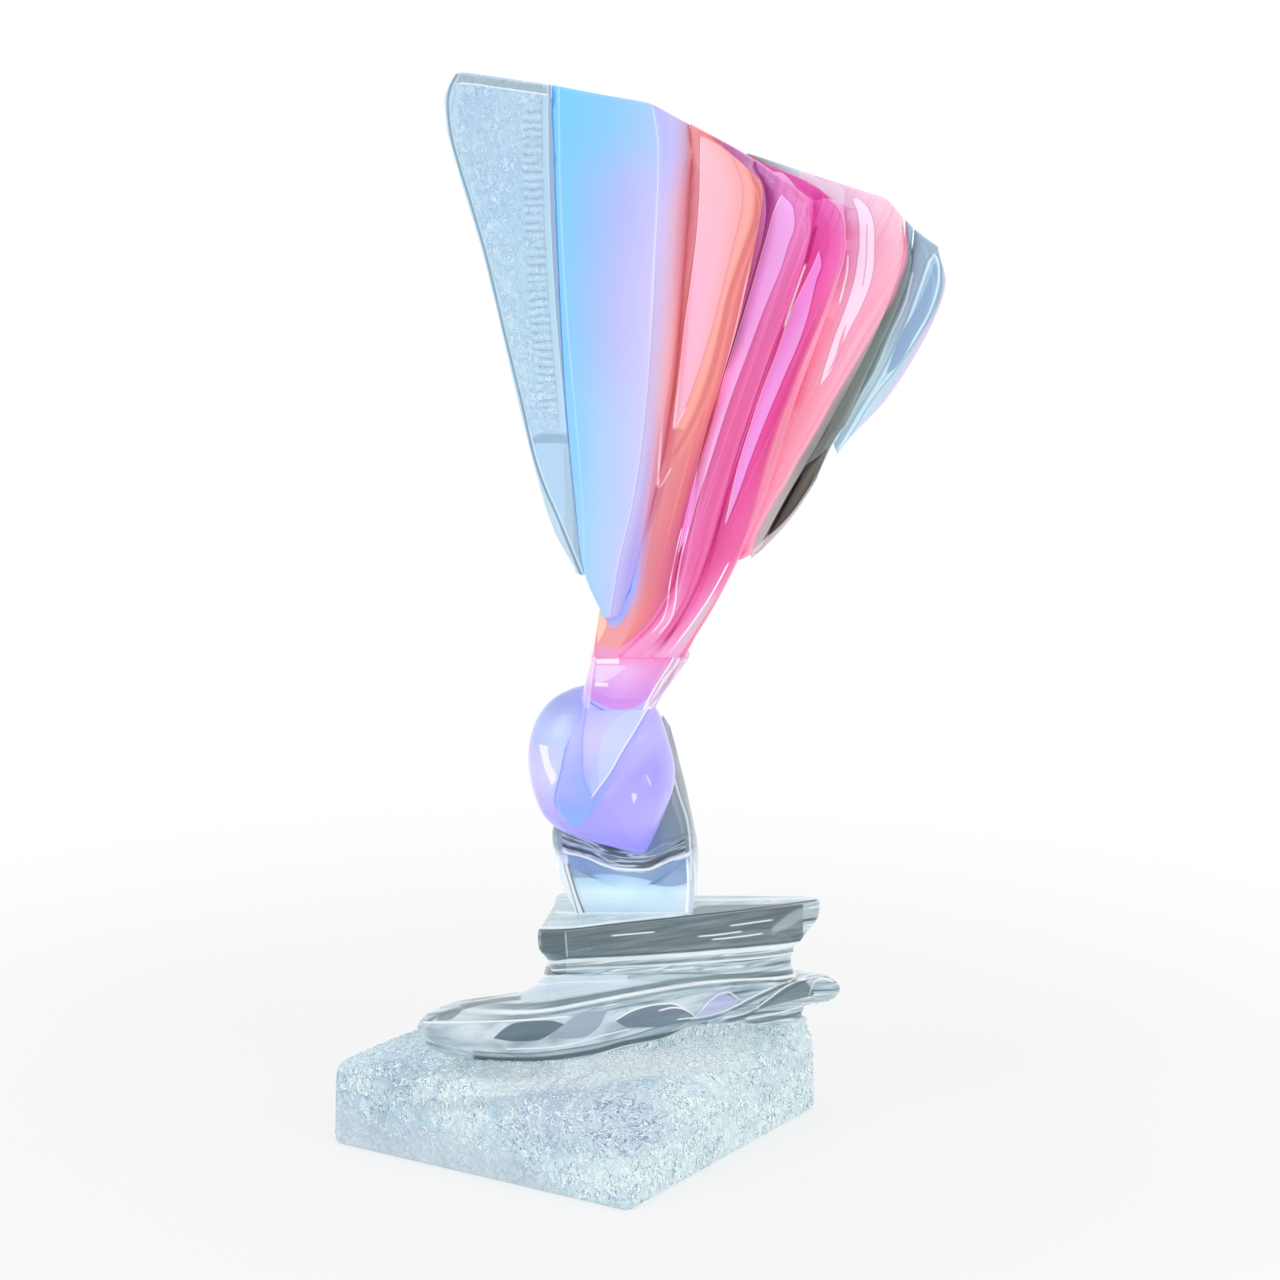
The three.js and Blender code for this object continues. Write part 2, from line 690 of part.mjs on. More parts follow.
function makePleat(spec) {
  const pleat = { ...spec };
  ['left', 'crest', 'right'].forEach((side) => {
    if (spec[side]) pleat[side] = foldCurve(spec[side]);
  });
  const first = spec.from ?? 0;
  const rows = Math.max(fewestRows, Math.round((rowsFan * (lastStation - first)) / lastStation));
  const sections = [];
  for (let r = 0; r <= rows; r += 1) {
    sections.push(pleatSection(pleat, mix(first, lastStation, r / rows)));
  }
  const [low, next] = sections;
  const top = sections[sections.length - 1];
  [30, 60, 90].forEach((angle) => sections.push(roundedEnd(top, vec(0, 0, 1), angle, pleat)));
  if (!spec.onNeck) {
    const downwards = middleOf(low).sub(middleOf(next)).setY(0).setLength(lowEndRound);
    [45, 90].forEach((angle) => sections.unshift(roundedEnd(low, downwards, angle, pleat)));
  }
  return loft(sections.map(({ front, back }) => [...front, ...[...back].reverse()]), stripCap);
}

// Assembly

const finish = (color, roughness, opacity) => new THREE.MeshStandardMaterial({
  color, roughness, metalness: 0, opacity, transparent: opacity < 1,
});

const turned = new THREE.Group();
turned.rotation.z = facing;

function addPiece(parent, name, geometry, material) {
  const mesh = new THREE.Mesh(geometry, material);
  mesh.name = name;
  parent.add(mesh);
}

const sculpture = new THREE.Group();
sculpture.add(turned);

const bulbBody = makeBulb();
const tongueBody = makeTongue();
const neckBody = makeNeck();
const clearBody = makePleat({ left: clearEdge, right: clearSeam, from: clearStart, freeLeft: true });
const blueBody = makePleat({ left: clearSeam, crest: blueCrest, right: violetEdge });
const coralBody = makePleat({
  left: coralEdge, crest: coralCrest, right: behind(coralCrest), shoulder: true, onNeck: true,
});
const lilacBody = makePleat({
  left: behind(coralCrest), crest: lilacCrest, right: behind(lilacCrest), shoulder: true, onNeck: true,
});
const magentaBody = makePleat({
  left: behind(lilacCrest), crest: magentaCrest, right: behind(magentaCrest), onNeck: true,
});
const pinkBody = makePleat({
  left: pinkEdge, crest: pinkCrest, right: behind(pinkCrest), from: pinkStart, rimRise: pinkRimRise,
});
const pinkSeated = pocketed(pinkBody, coralBody, lilacBody, magentaBody);
const smokeBody = makePleat({ left: behind(pinkCrest), right: smokeEdge, from: pinkStart });
const tipBody = makePleat({
  left: smokeEdge, crest: tipCrest, right: tipEdge, from: tipStart, freeRight: true,
});

addPiece(sculpture, 'plinth', makePlinth(), finish(0xd2e2e6, 0.35, 0.6));
addPiece(turned, 'wave_tier', makeWaveTier(), finish(0xb4c6cf, 0.05, 0.5));
addPiece(turned, 'upper_tier', makeUpperTier(), finish(0x93a4ac, 0.05, 0.5));
addPiece(turned, 'pedestal', makePedestal(bulbBody), finish(0x9fb4c4, 0.05, 0.5));
addPiece(turned, 'bulb', pocketed(bulbBody, tongueBody, neckBody), finish(0xb4aaff, 0.05, 0.85));
addPiece(turned, 'tongue', tongueBody, finish(0xc3bcfa, 0.05, 0.75));
addPiece(turned, 'neck', neckBody, finish(0xeaa5e1, 0.05, 0.75));
addPiece(turned, 'clear_panel', clearBody, finish(0xafd2eb, 0.25, 0.55));
addPiece(turned, 'blue_pleat', blueBody, finish(0x8cb9fa, 0.08, 0.85));
addPiece(turned, 'coral_pleat', pocketed(coralBody, blueBody, clearBody), finish(0xf59a96, 0.08, 0.9));
addPiece(turned, 'lilac_pleat', lilacBody, finish(0xf0a0e6, 0.08, 0.9));
addPiece(turned, 'magenta_pleat', magentaBody, finish(0xee50ae, 0.08, 0.9));
addPiece(turned, 'pink_pleat', pinkSeated, finish(0xffb4d2, 0.08, 0.85));
addPiece(turned, 'smoke_pleat', smokeBody, finish(0x737a7a, 0.08, 0.7));
addPiece(turned, 'clear_tip', tipBody, finish(0xa8cfe4, 0.05, 0.6));

export default sculpture;
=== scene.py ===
"""Looks of the acrylic fan sculpture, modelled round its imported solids. Metres, +Z up.

Everything above the plinth is turned by FACING about the vertical. In that turned frame `across` runs
along the fan, `depth` from its front to its back and `height` up from the table, all in millimetres.
"""

import math

import bpy
from mathutils import Matrix, Vector, noise


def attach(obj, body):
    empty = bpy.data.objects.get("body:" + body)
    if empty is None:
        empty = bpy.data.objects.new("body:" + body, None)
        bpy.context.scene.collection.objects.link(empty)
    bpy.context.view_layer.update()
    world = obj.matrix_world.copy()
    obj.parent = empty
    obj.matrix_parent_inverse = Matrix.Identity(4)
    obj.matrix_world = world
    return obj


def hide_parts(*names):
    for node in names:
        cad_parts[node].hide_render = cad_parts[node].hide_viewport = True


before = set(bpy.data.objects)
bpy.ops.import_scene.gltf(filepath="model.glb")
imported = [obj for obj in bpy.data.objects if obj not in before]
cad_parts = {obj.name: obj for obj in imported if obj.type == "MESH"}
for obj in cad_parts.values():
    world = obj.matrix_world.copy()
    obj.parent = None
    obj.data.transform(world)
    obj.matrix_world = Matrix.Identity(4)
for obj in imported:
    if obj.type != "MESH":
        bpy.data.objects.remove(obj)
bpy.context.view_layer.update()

MM = 0.001
FACING = math.radians(33.64)
TURNED = Matrix.Rotation(-FACING, 3, "Z")      # row frame to turned frame
PLINTH_HEIGHT = 56
TIER_JOINT = 102                               # height at which the upper tier stands on the wave tier
PEDESTAL_FOOT = 134
NECK_TOP = 291                                 # height of the fan's foot
ACRYLIC_IOR = 1.49
PAINTED_GLOW = 0.2                              # strength of the emission in each piece's own colour, a painted glow that lifts its shade
RUNG_PITCH = 4.6                               # of the moulded ladder beside the blue pleat
DIMPLE = (24.3, 14.2)                          # centre of the painted shading of a dimple in the plinth's front: place across and leaning height


# Camera, lights and stage

LENS = 122.8                                   # fitted to the photo, as the camera's place and target are
SENSOR_WIDTH = 36
CAMERA_PLACE = (1.3296, -1.998, 0.8733)
CAMERA_TARGET = (0.03034, 0.02019, 0.28974)
SCULPTURE_MIDDLE = (0.03, 0.02, 0.33)


def placed(name, data):
    """A new object of `data`, in the scene."""
    thing = bpy.data.objects.new(name, data)
    bpy.context.scene.collection.objects.link(thing)
    return thing


def aim(thing, target):
    direction = Vector(target) - thing.location
    thing.rotation_euler = direction.to_track_quat("-Z", "Y").to_euler()


def add_camera():
    data = bpy.data.cameras.new("camera")
    data.lens = LENS
    data.sensor_width = SENSOR_WIDTH
    camera = placed("camera", data)
    camera.location = CAMERA_PLACE
    aim(camera, CAMERA_TARGET)
    bpy.context.scene.camera = camera


def add_softbox(name, place, width, height, power):
    data = bpy.data.lights.new(name, "AREA")
    data.shape = "RECTANGLE"
    data.size = width
    data.size_y = height
    data.energy = power
    lamp = placed(name, data)
    lamp.location = place
    aim(lamp, SCULPTURE_MIDDLE)


bpy.context.scene.view_settings.view_transform = "Standard"
add_camera()
add_softbox("window_left", (-0.55, -1.25, 1.05), width=0.5, height=0.9, power=2.2)
add_softbox("window_right", (1.65, -0.25, 0.85), width=0.6, height=1.0, power=3)
add_softbox("ceiling", (0.1, 0.1, 1.9), width=1.2, height=1.2, power=2.2)


# Shader nodes

class Wire:
    """A number on its way between shader nodes. Python's operators add Math nodes to it."""

    def __init__(self, nodes, socket):
        self.nodes = nodes
        self.socket = socket

    def math(self, operation, *values):
        return self.nodes.add("ShaderNodeMath", dict(enumerate(values)), operation=operation)

    def __add__(self, other):
        return self.math("ADD", self, other)

    __radd__ = __add__

    def __sub__(self, other):
        return self.math("SUBTRACT", self, other)

    def __rsub__(self, other):
        return self.math("SUBTRACT", other, self)

    def __mul__(self, other):
        return self.math("MULTIPLY", self, other)

    __rmul__ = __mul__

    def __truediv__(self, other):
        return self.math("DIVIDE", self, other)

    def __pow__(self, other):
        return self.math("POWER", self, other)

    def size(self):
        return self.math("ABSOLUTE", self)

    def least(self, other):
        return self.math("MINIMUM", self, other)

    def most(self, other):
        return self.math("MAXIMUM", self, other)


class Nodes:
    """A node tree that is filled through `add`."""

    def __init__(self, tree):
        self.tree = tree
        tree.nodes.clear()

    def add(self, kind, inputs, output=0, stops=None, points=None, **settings):
        node = self.tree.nodes.new(kind)
        for name, value in settings.items():
            setattr(node, name, value)
        if stops:
            elements = node.color_ramp.elements
            while len(elements) > len(stops):
                elements.remove(elements[-1])
            while len(elements) < len(stops):
                elements.new(1)
            for element, (position, *colour) in zip(elements, stops):
                element.position = position
                element.color = srgb(*colour)
        if points:
            curve = node.mapping.curves[0]
            while len(curve.points) < len(points):
                curve.points.new(1, 1)
            for point, place in zip(curve.points, points):
                point.location = place
                point.handle_type = "AUTO_CLAMPED"
            node.mapping.update()
        for name, value in inputs.items():
            if isinstance(value, Wire):
                self.tree.links.new(value.socket, node.inputs[name])
            else:
                node.inputs[name].default_value = value
        return None if output is None else Wire(self, node.outputs[output])

    def step(self, value, low, high):
        """0 below `low` and 1 above `high`, smooth between."""
        return self.add(
            "ShaderNodeMapRange",
            {"Value": value, "From Min": low, "From Max": high},
            interpolation_type="SMOOTHSTEP",
        )

    def band(self, value, low, high, soft):
        """1 between `low` and `high`, with edges `soft` wide."""
        rise = self.step(value, low - soft / 2, low + soft / 2)
        return rise - self.step(value, high - soft / 2, high + soft / 2)

    def mix(self, share, first, second):
        return self.add("ShaderNodeMix", {0: share, 6: first, 7: second}, 2, data_type="RGBA")

    def ramp(self, value, *stops):
        """Colour along `value`. Each stop is (value, red, green, blue)."""
        return self.add("ShaderNodeValToRGB", {"Fac": value}, stops=stops)

    def noise(self, place, scale, detail=2, distortion=0):
        inputs = {"Vector": place, "Scale": scale, "Detail": detail, "Distortion": distortion}
        return self.add("ShaderNodeTexNoise", inputs)

    def vector(self, x, y, z):
        return self.add("ShaderNodeCombineXYZ", {0: x, 1: y, 2: z})


def srgb(red, green, blue):
    """A colour as it is read off the object, 0 to 255, in the shader's own linear numbers."""
    linear = [
        c / 12.92 if c <= 0.04045 else ((c + 0.055) / 1.055) ** 2.4
        for c in (red / 255, green / 255, blue / 255)
    ]
    return (*linear, 1)


HEIGHT_RANGE = (-150, 350)     # of a line's heights
ACROSS_RANGE = (-120, 220)     # of its places across
LINE_END = 3                   # length over which a drawn line runs out


class Finish(Nodes):
    """A material of the sculpture. Its patterns lie in the turned frame.

    Heights are counted from `base`, along lines that rise by the share `lean` of the depth.
    """

    def __init__(self, name, base=0, lean=0):
        self.material = bpy.data.materials.new(name)
        self.material.use_nodes = True
        super().__init__(self.material.node_tree)
        place = self.add("ShaderNodeTexCoord", {}, "Object")
        self.place = self.add(
            "ShaderNodeMapping",
            {"Vector": place, "Rotation": (0, 0, -FACING), "Scale": (1000, 1000, 1000)},
        )
        self.across, self.depth, height = (
            self.add("ShaderNodeSeparateXYZ", {0: self.place}, axis) for axis in "XYZ"
        )
        self.rise = height + self.depth * lean - base
        self.colour = None

    def stretched(self, x, y, z, turn=0):
        """The place in units of x, y and z millimetres, turned by `turn` degrees in the front view."""
        place = self.place
        if turn:
            place = self.add(
                "ShaderNodeMapping", {"Vector": place, "Rotation": (0, math.radians(turn), 0)}
            )
        return self.add("ShaderNodeMapping", {"Vector": place, "Scale": (1 / x, 1 / y, 1 / z)})

    def strokes(self, place, mask, dark, light):
        """Paints fine crooked lines about a unit of `place` apart, a painted shade on one side and a
        painted glint on the other, and returns the relief whose shading they stand for."""
        relief = self.noise(place, 1, distortion=1)
        for middle, colour in ((0.47, dark), (0.54, light)):
            line = 1 - self.step((relief - middle).size(), 0.01, 0.045)
            self.paint(mask * line, colour)
        return relief

    def curve(self, value, line, domain, span):
        (low, high), (least, most) = domain, span
        points = [((v - low) / (high - low), (w - least) / (most - least)) for v, w in line]
        share = self.add(
            "ShaderNodeFloatCurve", {"Value": (value - low) / (high - low)}, points=points
        )
        return share * (most - least) + least

    def upright(self, line):
        """Place across of an upright line of (height, across) points, at the height of the surface."""
        return self.curve(self.rise, line, HEIGHT_RANGE, ACROSS_RANGE)

    def level(self, line):
        """Height of a level line of (across, height) points, at the surface's place across."""
        return self.curve(self.across, line, ACROSS_RANGE, HEIGHT_RANGE)

    def past(self, line, low, high):
        """0 up to `low` to the right of an upright line, and 1 from `high` on."""
        return self.step(self.across - self.upright(line), low, high)

    def enclosed(self, lines, first, second, reach, soft):
        """1 where the distances `first` and `second` are above 0, as far along `reach` as both lines go."""
        inside = self.step(first.least(second), -soft / 2, soft / 2)
        start = max(line[0][0] for line in lines)
        end = min(line[-1][0] for line in lines)
        return inside * self.band(reach, start, end, soft)

    def blade(self, left, right, soft=0.5):
        """1 between two upright lines, as far as both go."""
        after = self.across - self.upright(left)
        before = self.upright(right) - self.across
        return self.enclosed((left, right), after, before, self.rise, soft)

    def sheet(self, lower, upper, soft=0.5):
        """1 between two level lines, as far as both go."""
        above = self.rise - self.level(lower)
        below = self.level(upper) - self.rise
        return self.enclosed((lower, upper), above, below, self.across, soft)

    def traced(self, line, away, reach, width):
        """1 where the distance `away` from a line is small, as far along `reach` as the line goes."""
        near = 1 - self.step(away.size(), width * 0.3, width * 0.7)
        return near * self.band(reach, line[0][0], line[-1][0], LINE_END)

    def thread(self, line, width, offset=0):
        """1 along an upright line and `offset` to its right."""
        return self.traced(line, self.across - self.upright(line) - offset, self.rise, width)

    def seam(self, line, width, offset=0):
        """1 along a level line and `offset` above it."""
        return self.traced(line, self.rise - self.level(line) - offset, self.across, width)

    def share(self, left, right):
        """Share of the way across from one upright line to another."""
        start = self.upright(left)
        return (self.across - start) / (self.upright(right) - start)

    def graded(self, value, *rows):
        """Colours along `value` that change with the height.

        Each row is (height, stop, stop...), with the stops of `ramp`. One stop alone is a flat colour.
        """
        (below, *stops), *others = rows
        colour = self.ramp(value, *stops)
        for height, *stops in others:
            upper = self.ramp(value, *stops)
            colour = self.mix(self.step(self.rise, below, height), colour, upper)
            below = height
        return colour

    def paint(self, mask, colour):
        """Lays a colour, (red, green, blue) or a wire of one, over what is there as far as `mask` says."""
        over = colour if isinstance(colour, Wire) else srgb(*colour)
        self.colour = self.mix(mask, self.colour, over)

    def fill(self, left, right, *rows, soft=0.5):
        """Paints between two upright lines, in colours that run from the left one to the right one."""
        colour = self.graded(self.share(left, right), *rows)
        self.paint(self.blade(left, right, soft), colour)

    def shaded(self, clearness, roughness, bump=None, bump_depth=0):
        """Closes the material. `bump` is a height of 0 to 1, and 1 stands for `bump_depth` millimetres."""
        inputs = {
            "Base Color": self.colour,
            "Roughness": roughness,
            "IOR": ACRYLIC_IOR,
            "Transmission Weight": clearness,
            # The emission in the piece's own colour is a painted glow that lifts its shaded parts
            "Emission Color": self.colour,
            "Emission Strength": PAINTED_GLOW,
        }
        if bump is not None:
            inputs["Normal"] = self.add(
                "ShaderNodeBump", {"Height": bump, "Strength": 1, "Distance": bump_depth * MM}
            )
        shader = self.add("ShaderNodeBsdfPrincipled", inputs)
        self.add("ShaderNodeOutputMaterial", {"Surface": shader}, None)
        return self.material


# Surroundings

def seen_directly(nodes):
    """1 for what the camera sees, also in a gloss or through clear acrylic, and 0 for other light."""
    camera, gloss, through = (
        nodes.add("ShaderNodeLightPath", {}, f"Is {kind} Ray")
        for kind in ("Camera", "Glossy", "Transmission")
    )
    return camera.most(gloss).most(through)


WORLD_STRENGTH = 0.73                # of the light on the object; the camera sees the world white
FLOOR_SIZE = 12
FLOOR_COLOUR = (0.98, 0.98, 0.98, 1)
FLOOR_FADE = (0.25, 0.75)            # metres from the middle between which the floor runs out into white
FLOOR_GLOW = 0.6                     # share of white in the floor under the object


def light_world():
    world = bpy.data.worlds.new("studio")
    bpy.context.scene.world = world
    world.use_nodes = True
    nodes = Nodes(world.node_tree)
    level = seen_directly(nodes) * (1 - WORLD_STRENGTH) + WORLD_STRENGTH
    white = nodes.add("ShaderNodeBackground", {"Color": (1, 1, 1, 1), "Strength": level})
    nodes.add("ShaderNodeOutputWorld", {"Surface": white}, None)


def lay_floor():
    """A pale floor that takes the object's shadow, and runs out into white."""
    bpy.ops.mesh.primitive_plane_add(size=FLOOR_SIZE)
    floor = bpy.context.active_object
    floor.name = "floor"
    material = bpy.data.materials.new("floor")
    material.use_nodes = True
    nodes = Nodes(material.node_tree)
    place = nodes.add("ShaderNodeTexCoord", {}, "Object")
    reach = nodes.add("ShaderNodeVectorMath", {0: place}, "Value", operation="LENGTH")
    matt = nodes.add("ShaderNodeBsdfDiffuse", {"Color": FLOOR_COLOUR})
    white = nodes.add("ShaderNodeEmission", {"Color": (1, 1, 1, 1), "Strength": 1})
    away = (nodes.step(reach, *FLOOR_FADE) * (1 - FLOOR_GLOW) + FLOOR_GLOW) * seen_directly(nodes)
    blend = nodes.add("ShaderNodeMixShader", {0: away, 1: matt, 2: white})
    nodes.add("ShaderNodeOutputMaterial", {"Surface": blend}, None)
    floor.data.materials.append(material)


light_world()
lay_floor()


# Modelling

JOINT_FILL = 0.5        # more than half of the joint between two pieces
POCKET_FILL = 0.52      # just over the play of a piece in its pocket
CREASE = 0.9            # share of its sharpness that a sharp edge keeps when a piece is smoothed


def only(piece):
    """Makes `piece` the one thing that the operators work on."""
    bpy.ops.object.select_all(action="DESELECT")
    bpy.context.view_layer.objects.active = piece
    piece.select_set(True)


def apply(piece, kind, **settings):
    modifier = piece.modifiers.new(kind.lower(), kind)
    for name, value in settings.items():
        setattr(modifier, name, value)
    only(piece)
    bpy.ops.object.modifier_apply(modifier=modifier.name)


def copy_of(node):
    """Copy of a CAD node with its vertices merged and its triangles joined into quads."""
    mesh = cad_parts[node].data.copy()
    mesh.materials.clear()
    piece = placed(node + "_look", mesh)
    only(piece)
    bpy.ops.mesh.customdata_custom_splitnormals_clear()
    bpy.ops.object.mode_set(mode="EDIT")
    bpy.ops.mesh.select_all(action="SELECT")
    bpy.ops.mesh.remove_doubles(threshold=0.01 * MM)
    bpy.ops.mesh.tris_convert_to_quads(face_threshold=0.9, shape_threshold=0.9)
    bpy.ops.object.mode_set(mode="OBJECT")
    return piece


def crease(piece, sharpness):
    """Keeps the edges that bend by more than `sharpness` degrees from being rounded away."""
    only(piece)
    bpy.ops.object.mode_set(mode="EDIT")
    bpy.ops.mesh.select_mode(type="EDGE")
    bpy.ops.mesh.select_all(action="DESELECT")
    bpy.ops.mesh.edges_select_sharp(sharpness=math.radians(sharpness))
    bpy.ops.transform.edge_crease(value=CREASE)
    bpy.ops.object.mode_set(mode="OBJECT")


def smoothed(node, levels, swell=JOINT_FILL, sharpness=50):
    """Smooth copy of a CAD node, swollen by `swell` millimetres to close the joints round it."""
    piece = copy_of(node)
    crease(piece, sharpness)
    apply(piece, "SUBSURF", levels=levels)
    if swell:
        apply(piece, "DISPLACE", strength=swell * MM, mid_level=0)
    return piece


def remeshed(node, voxel, smoothing):
    """Copy of a CAD node in small even faces, for a relief."""
    piece = copy_of(node)
    apply(piece, "REMESH", mode="VOXEL", voxel_size=voxel * MM)
    apply(piece, "SMOOTH", iterations=smoothing, factor=0.5)
    return piece


# Lines of the fan

# Upright lines, from the bottom up: (height above the fan's foot, place across), in millimetres
BLUE_START = [(26, 15), (47, 5), (81, 4), (110, 2), (147, -1), (196, -5), (262, -8), (316, -8.5)]
BLUE_FOLD = [(25, 18.5), (46, 22), (56, 23.8), (86, 31), (144, 39), (226, 44), (280, 46), (304, 43)]
SALMON_START = [(-5, 20), (30, 32), (55, 35.5), (89, 41), (115, 45), (163, 54), (228, 60), (290, 63)]
# Edges of the pale pink patch on the coral pleat, a painted reflection
CORAL_REFLECTION_LEFT = [(126, 55), (157, 58.5), (184, 61.5), (204, 64.4), (243, 68.8), (285, 70)]
CORAL_REFLECTION_RIGHT = [
    (126, 55.3), (137, 60.6), (157, 68), (177, 74.4), (199, 80.4), (226, 87), (241, 90.7), (256, 92.4),
    (267, 89.7), (277, 84), (285, 72),
]
CORAL_BAND_RIGHT = [
    (110, 53), (131, 64.4), (153, 73), (180, 80), (199, 84.3), (228, 94.1), (241, 98.4), (254, 99.5),
    (262, 98), (270, 94.4), (278, 88),
]
CORAL_EDGE = [
    (0, 18), (27, 46), (76, 60), (129, 76.5), (160, 84.8), (194, 93), (239, 101.6), (257, 103.7), (266, 97),
    (275, 87),
]
SECOND_V_LEFT = [(93, 46.3), (114, 47.4), (134, 49), (158, 52), (190, 56)]
SECOND_V_RIGHT = [(93, 46.8), (97, 49), (104, 52.8)]
LILAC_LEFT = [
    (57, 57.8), (84, 64.2), (105, 70), (129, 76.8), (160, 86.2), (197, 98), (228, 107), (248, 113),
    (251.5, 115.2),
]
LILAC_RIGHT = [
    (57, 58.2), (69, 63.2), (85, 67.8), (106, 74.8), (136, 84.6), (162, 94.4), (197, 108), (211, 114),
    (225, 118.4), (236, 121.7), (244, 121.3), (251.5, 115.3),
]
LILAC_STRIP = [
    (0, 36), (20, 53), (39, 63), (78, 74.4), (102, 83), (131, 92), (162, 103.5), (198, 116), (224, 126),
    (235, 129.7), (244, 129), (251.5, 124),
]
MAGENTA_CREASE = [
    (0, 44), (30, 63), (61, 75.7), (107, 88.4), (132, 97), (156, 105.5), (179, 114.5), (206, 126.5),
    (232, 134),
]
# Edges of the pale lilac blade on the magenta pleat, a painted highlight
MAGENTA_HIGHLIGHT_LEFT = [
    (72, 84), (102, 91), (121, 97), (144, 105), (166, 114), (182, 119.5), (195, 125.5), (214, 134.8),
    (218.4, 136.5),
]
MAGENTA_HIGHLIGHT_RIGHT = [
    (72, 84.3), (90, 91.5), (105, 97), (125, 105), (148, 115), (178, 127.8), (205, 135.2), (212, 137.5),
    (218.4, 136.6),
]
HOT_RIGHT = [
    (0, 57), (20, 71), (50, 89), (64, 94.2), (85, 101), (106, 107), (128, 114.5), (142, 120.5), (156, 126),
    (173, 133), (189, 139.4), (202, 144.4), (213, 148.6), (227, 150.6), (240, 148), (248, 140.5),
]
# Edges of the pale patch on the pink pleat, a painted highlight
PINK_HIGHLIGHT_LEFT = [
    (144, 137), (154, 139.8), (171, 145.6), (187, 151.8), (201, 156.4), (212, 158.4), (222, 159.5),
    (236, 158.8), (246, 155.5),
]
PINK_HIGHLIGHT_RIGHT = [
    (144, 137.3), (153, 143.8), (170, 151.3), (191, 162), (201, 165.6), (211, 167.4), (225, 167.7),
    (235, 166.6), (242, 163.3), (246, 158.8),
]
SMOKE_START = [
    (30, 86), (47, 95.5), (55, 99), (62, 101), (71, 105.5), (82, 111.9), (92.8, 119), (103.5, 124.9),
    (114, 131.7), (125, 138.4), (136, 144.6), (146.7, 151.3), (157.6, 158.1), (168.5, 164.8),
    (179.3, 171.5), (187.6, 177.8), (198.6, 182.3), (209.7, 186.2), (221, 186.8), (228, 186.2),
]
SMOKE_END = [
    (104, 143.5), (109, 145), (120.6, 152), (136, 160.3), (150, 168.6), (169, 176.9), (187, 185.2),
    (203, 189.3), (212, 191.3), (223, 188), (230, 186.5),
]
LENS_LEFT = [
    (60, 104.6), (67.2, 108.8), (80, 116.3), (89.9, 122.6), (98.5, 129.5), (104.1, 137.8), (107.5, 141.5),
]
LENS_RIGHT = [
    (60, 105), (63, 109.8), (71.4, 119.4), (81.4, 127.6), (91.4, 134.2), (99.9, 138.6), (107.5, 141.9),
]
TIP_BLADE_LEFT = [
    (109, 149.3), (127.7, 160.3), (147.6, 172.8), (173.2, 185.3), (194.5, 193.5), (204, 196.8),
    (209, 198.8), (212, 200.8), (213, 202.2),
]
TIP_BLADE_RIGHT = [
    (109, 149.6), (116.3, 154.9), (133.4, 166), (150.4, 179.8), (170.3, 193.7), (184.5, 201.3),
    (196, 205), (204, 205.8), (209, 205.2), (212, 203.8), (213, 202.6),
]
TIP_CORE_LEFT = [
    (148.3, 175), (167.5, 182.5), (184.5, 192.2), (199, 199), (204, 200.6), (207, 201.8), (208.5, 203),
]
TIP_CORE_RIGHT = [
    (148.3, 175.4), (149.5, 178.4), (170.3, 192.3), (184.5, 200.2), (198.7, 203.8), (205, 204.4),
    (208.5, 203.4),
]

# White of the painted highlight lines along edges and folds
HIGHLIGHT_WHITE = (250, 246, 252)


# Finishes of the fan

# Each zone of colour covers the fan from its own line on to the right, so the colours run on unbroken
# from one pleat to the next.

FAN_HUB = (9, -90)      # where the threads in the pleats would meet: place across, height over the foot


def streak(f, dark, light):
    """Paints faint threads in the acrylic, spread out from the fan's hub along the pleats."""
    turn = (f.across - FAN_HUB[0]) / (f.rise - FAN_HUB[1])
    strand = f.noise(f.vector(turn * 100, f.rise / 130, 0), 1)
    shown = f.step(f.rise, -10, 130) * 0.35
    f.paint((1 - f.step(strand, 0.34, 0.47)) * shown, dark)
    f.paint(f.step(strand, 0.54, 0.68) * shown, light)


def blue_zone(f):
    front = f.graded(
        f.share(BLUE_START, BLUE_FOLD),
        (60, (0, 160, 210, 250), (0.4, 178, 208, 249), (1, 192, 205, 250)),
        (120, (0, 142, 206, 252), (0.35, 172, 206, 250), (0.7, 190, 203, 250), (1, 204, 205, 250)),
        (190, (0, 134, 203, 252), (0.25, 158, 196, 252), (0.55, 185, 190, 251), (1, 208, 200, 251)),
        (250, (0, 128, 204, 253), (0.3, 150, 194, 253), (0.65, 180, 188, 252), (1, 200, 196, 252)),
        (300, (0, 118, 204, 254), (0.5, 135, 202, 254), (1, 168, 202, 251)),
    )
    side = f.graded(
        f.share(BLUE_FOLD, SALMON_START),
        (50, (0, 200, 192, 244), (0.5, 176, 172, 240), (1, 182, 176, 242)),
        (90, (0, 204, 198, 244), (0.6, 190, 182, 240), (1, 226, 178, 200)),
        (160, (0, 208, 190, 234), (0.4, 214, 184, 220), (0.75, 236, 180, 190), (1, 240, 160, 162)),
        (240, (0, 204, 194, 240), (0.35, 212, 192, 238), (0.65, 226, 176, 202), (1, 226, 150, 168)),
        (285, (0, 178, 188, 252), (0.45, 194, 190, 248), (0.75, 202, 178, 220), (1, 198, 152, 178)),
    )
    right = f.past(BLUE_FOLD, -0.3, 0.3)
    f.colour = f.mix(right, front, side)
    f.paint(f.thread(BLUE_FOLD, 0.9) * 0.4, (224, 226, 253))
    f.paint(f.thread(BLUE_FOLD, 0.6, 1) * 0.4, (160, 160, 215))
    f.paint(f.thread(BLUE_START, 1.2, 0.4) * 0.6, (176, 220, 248))


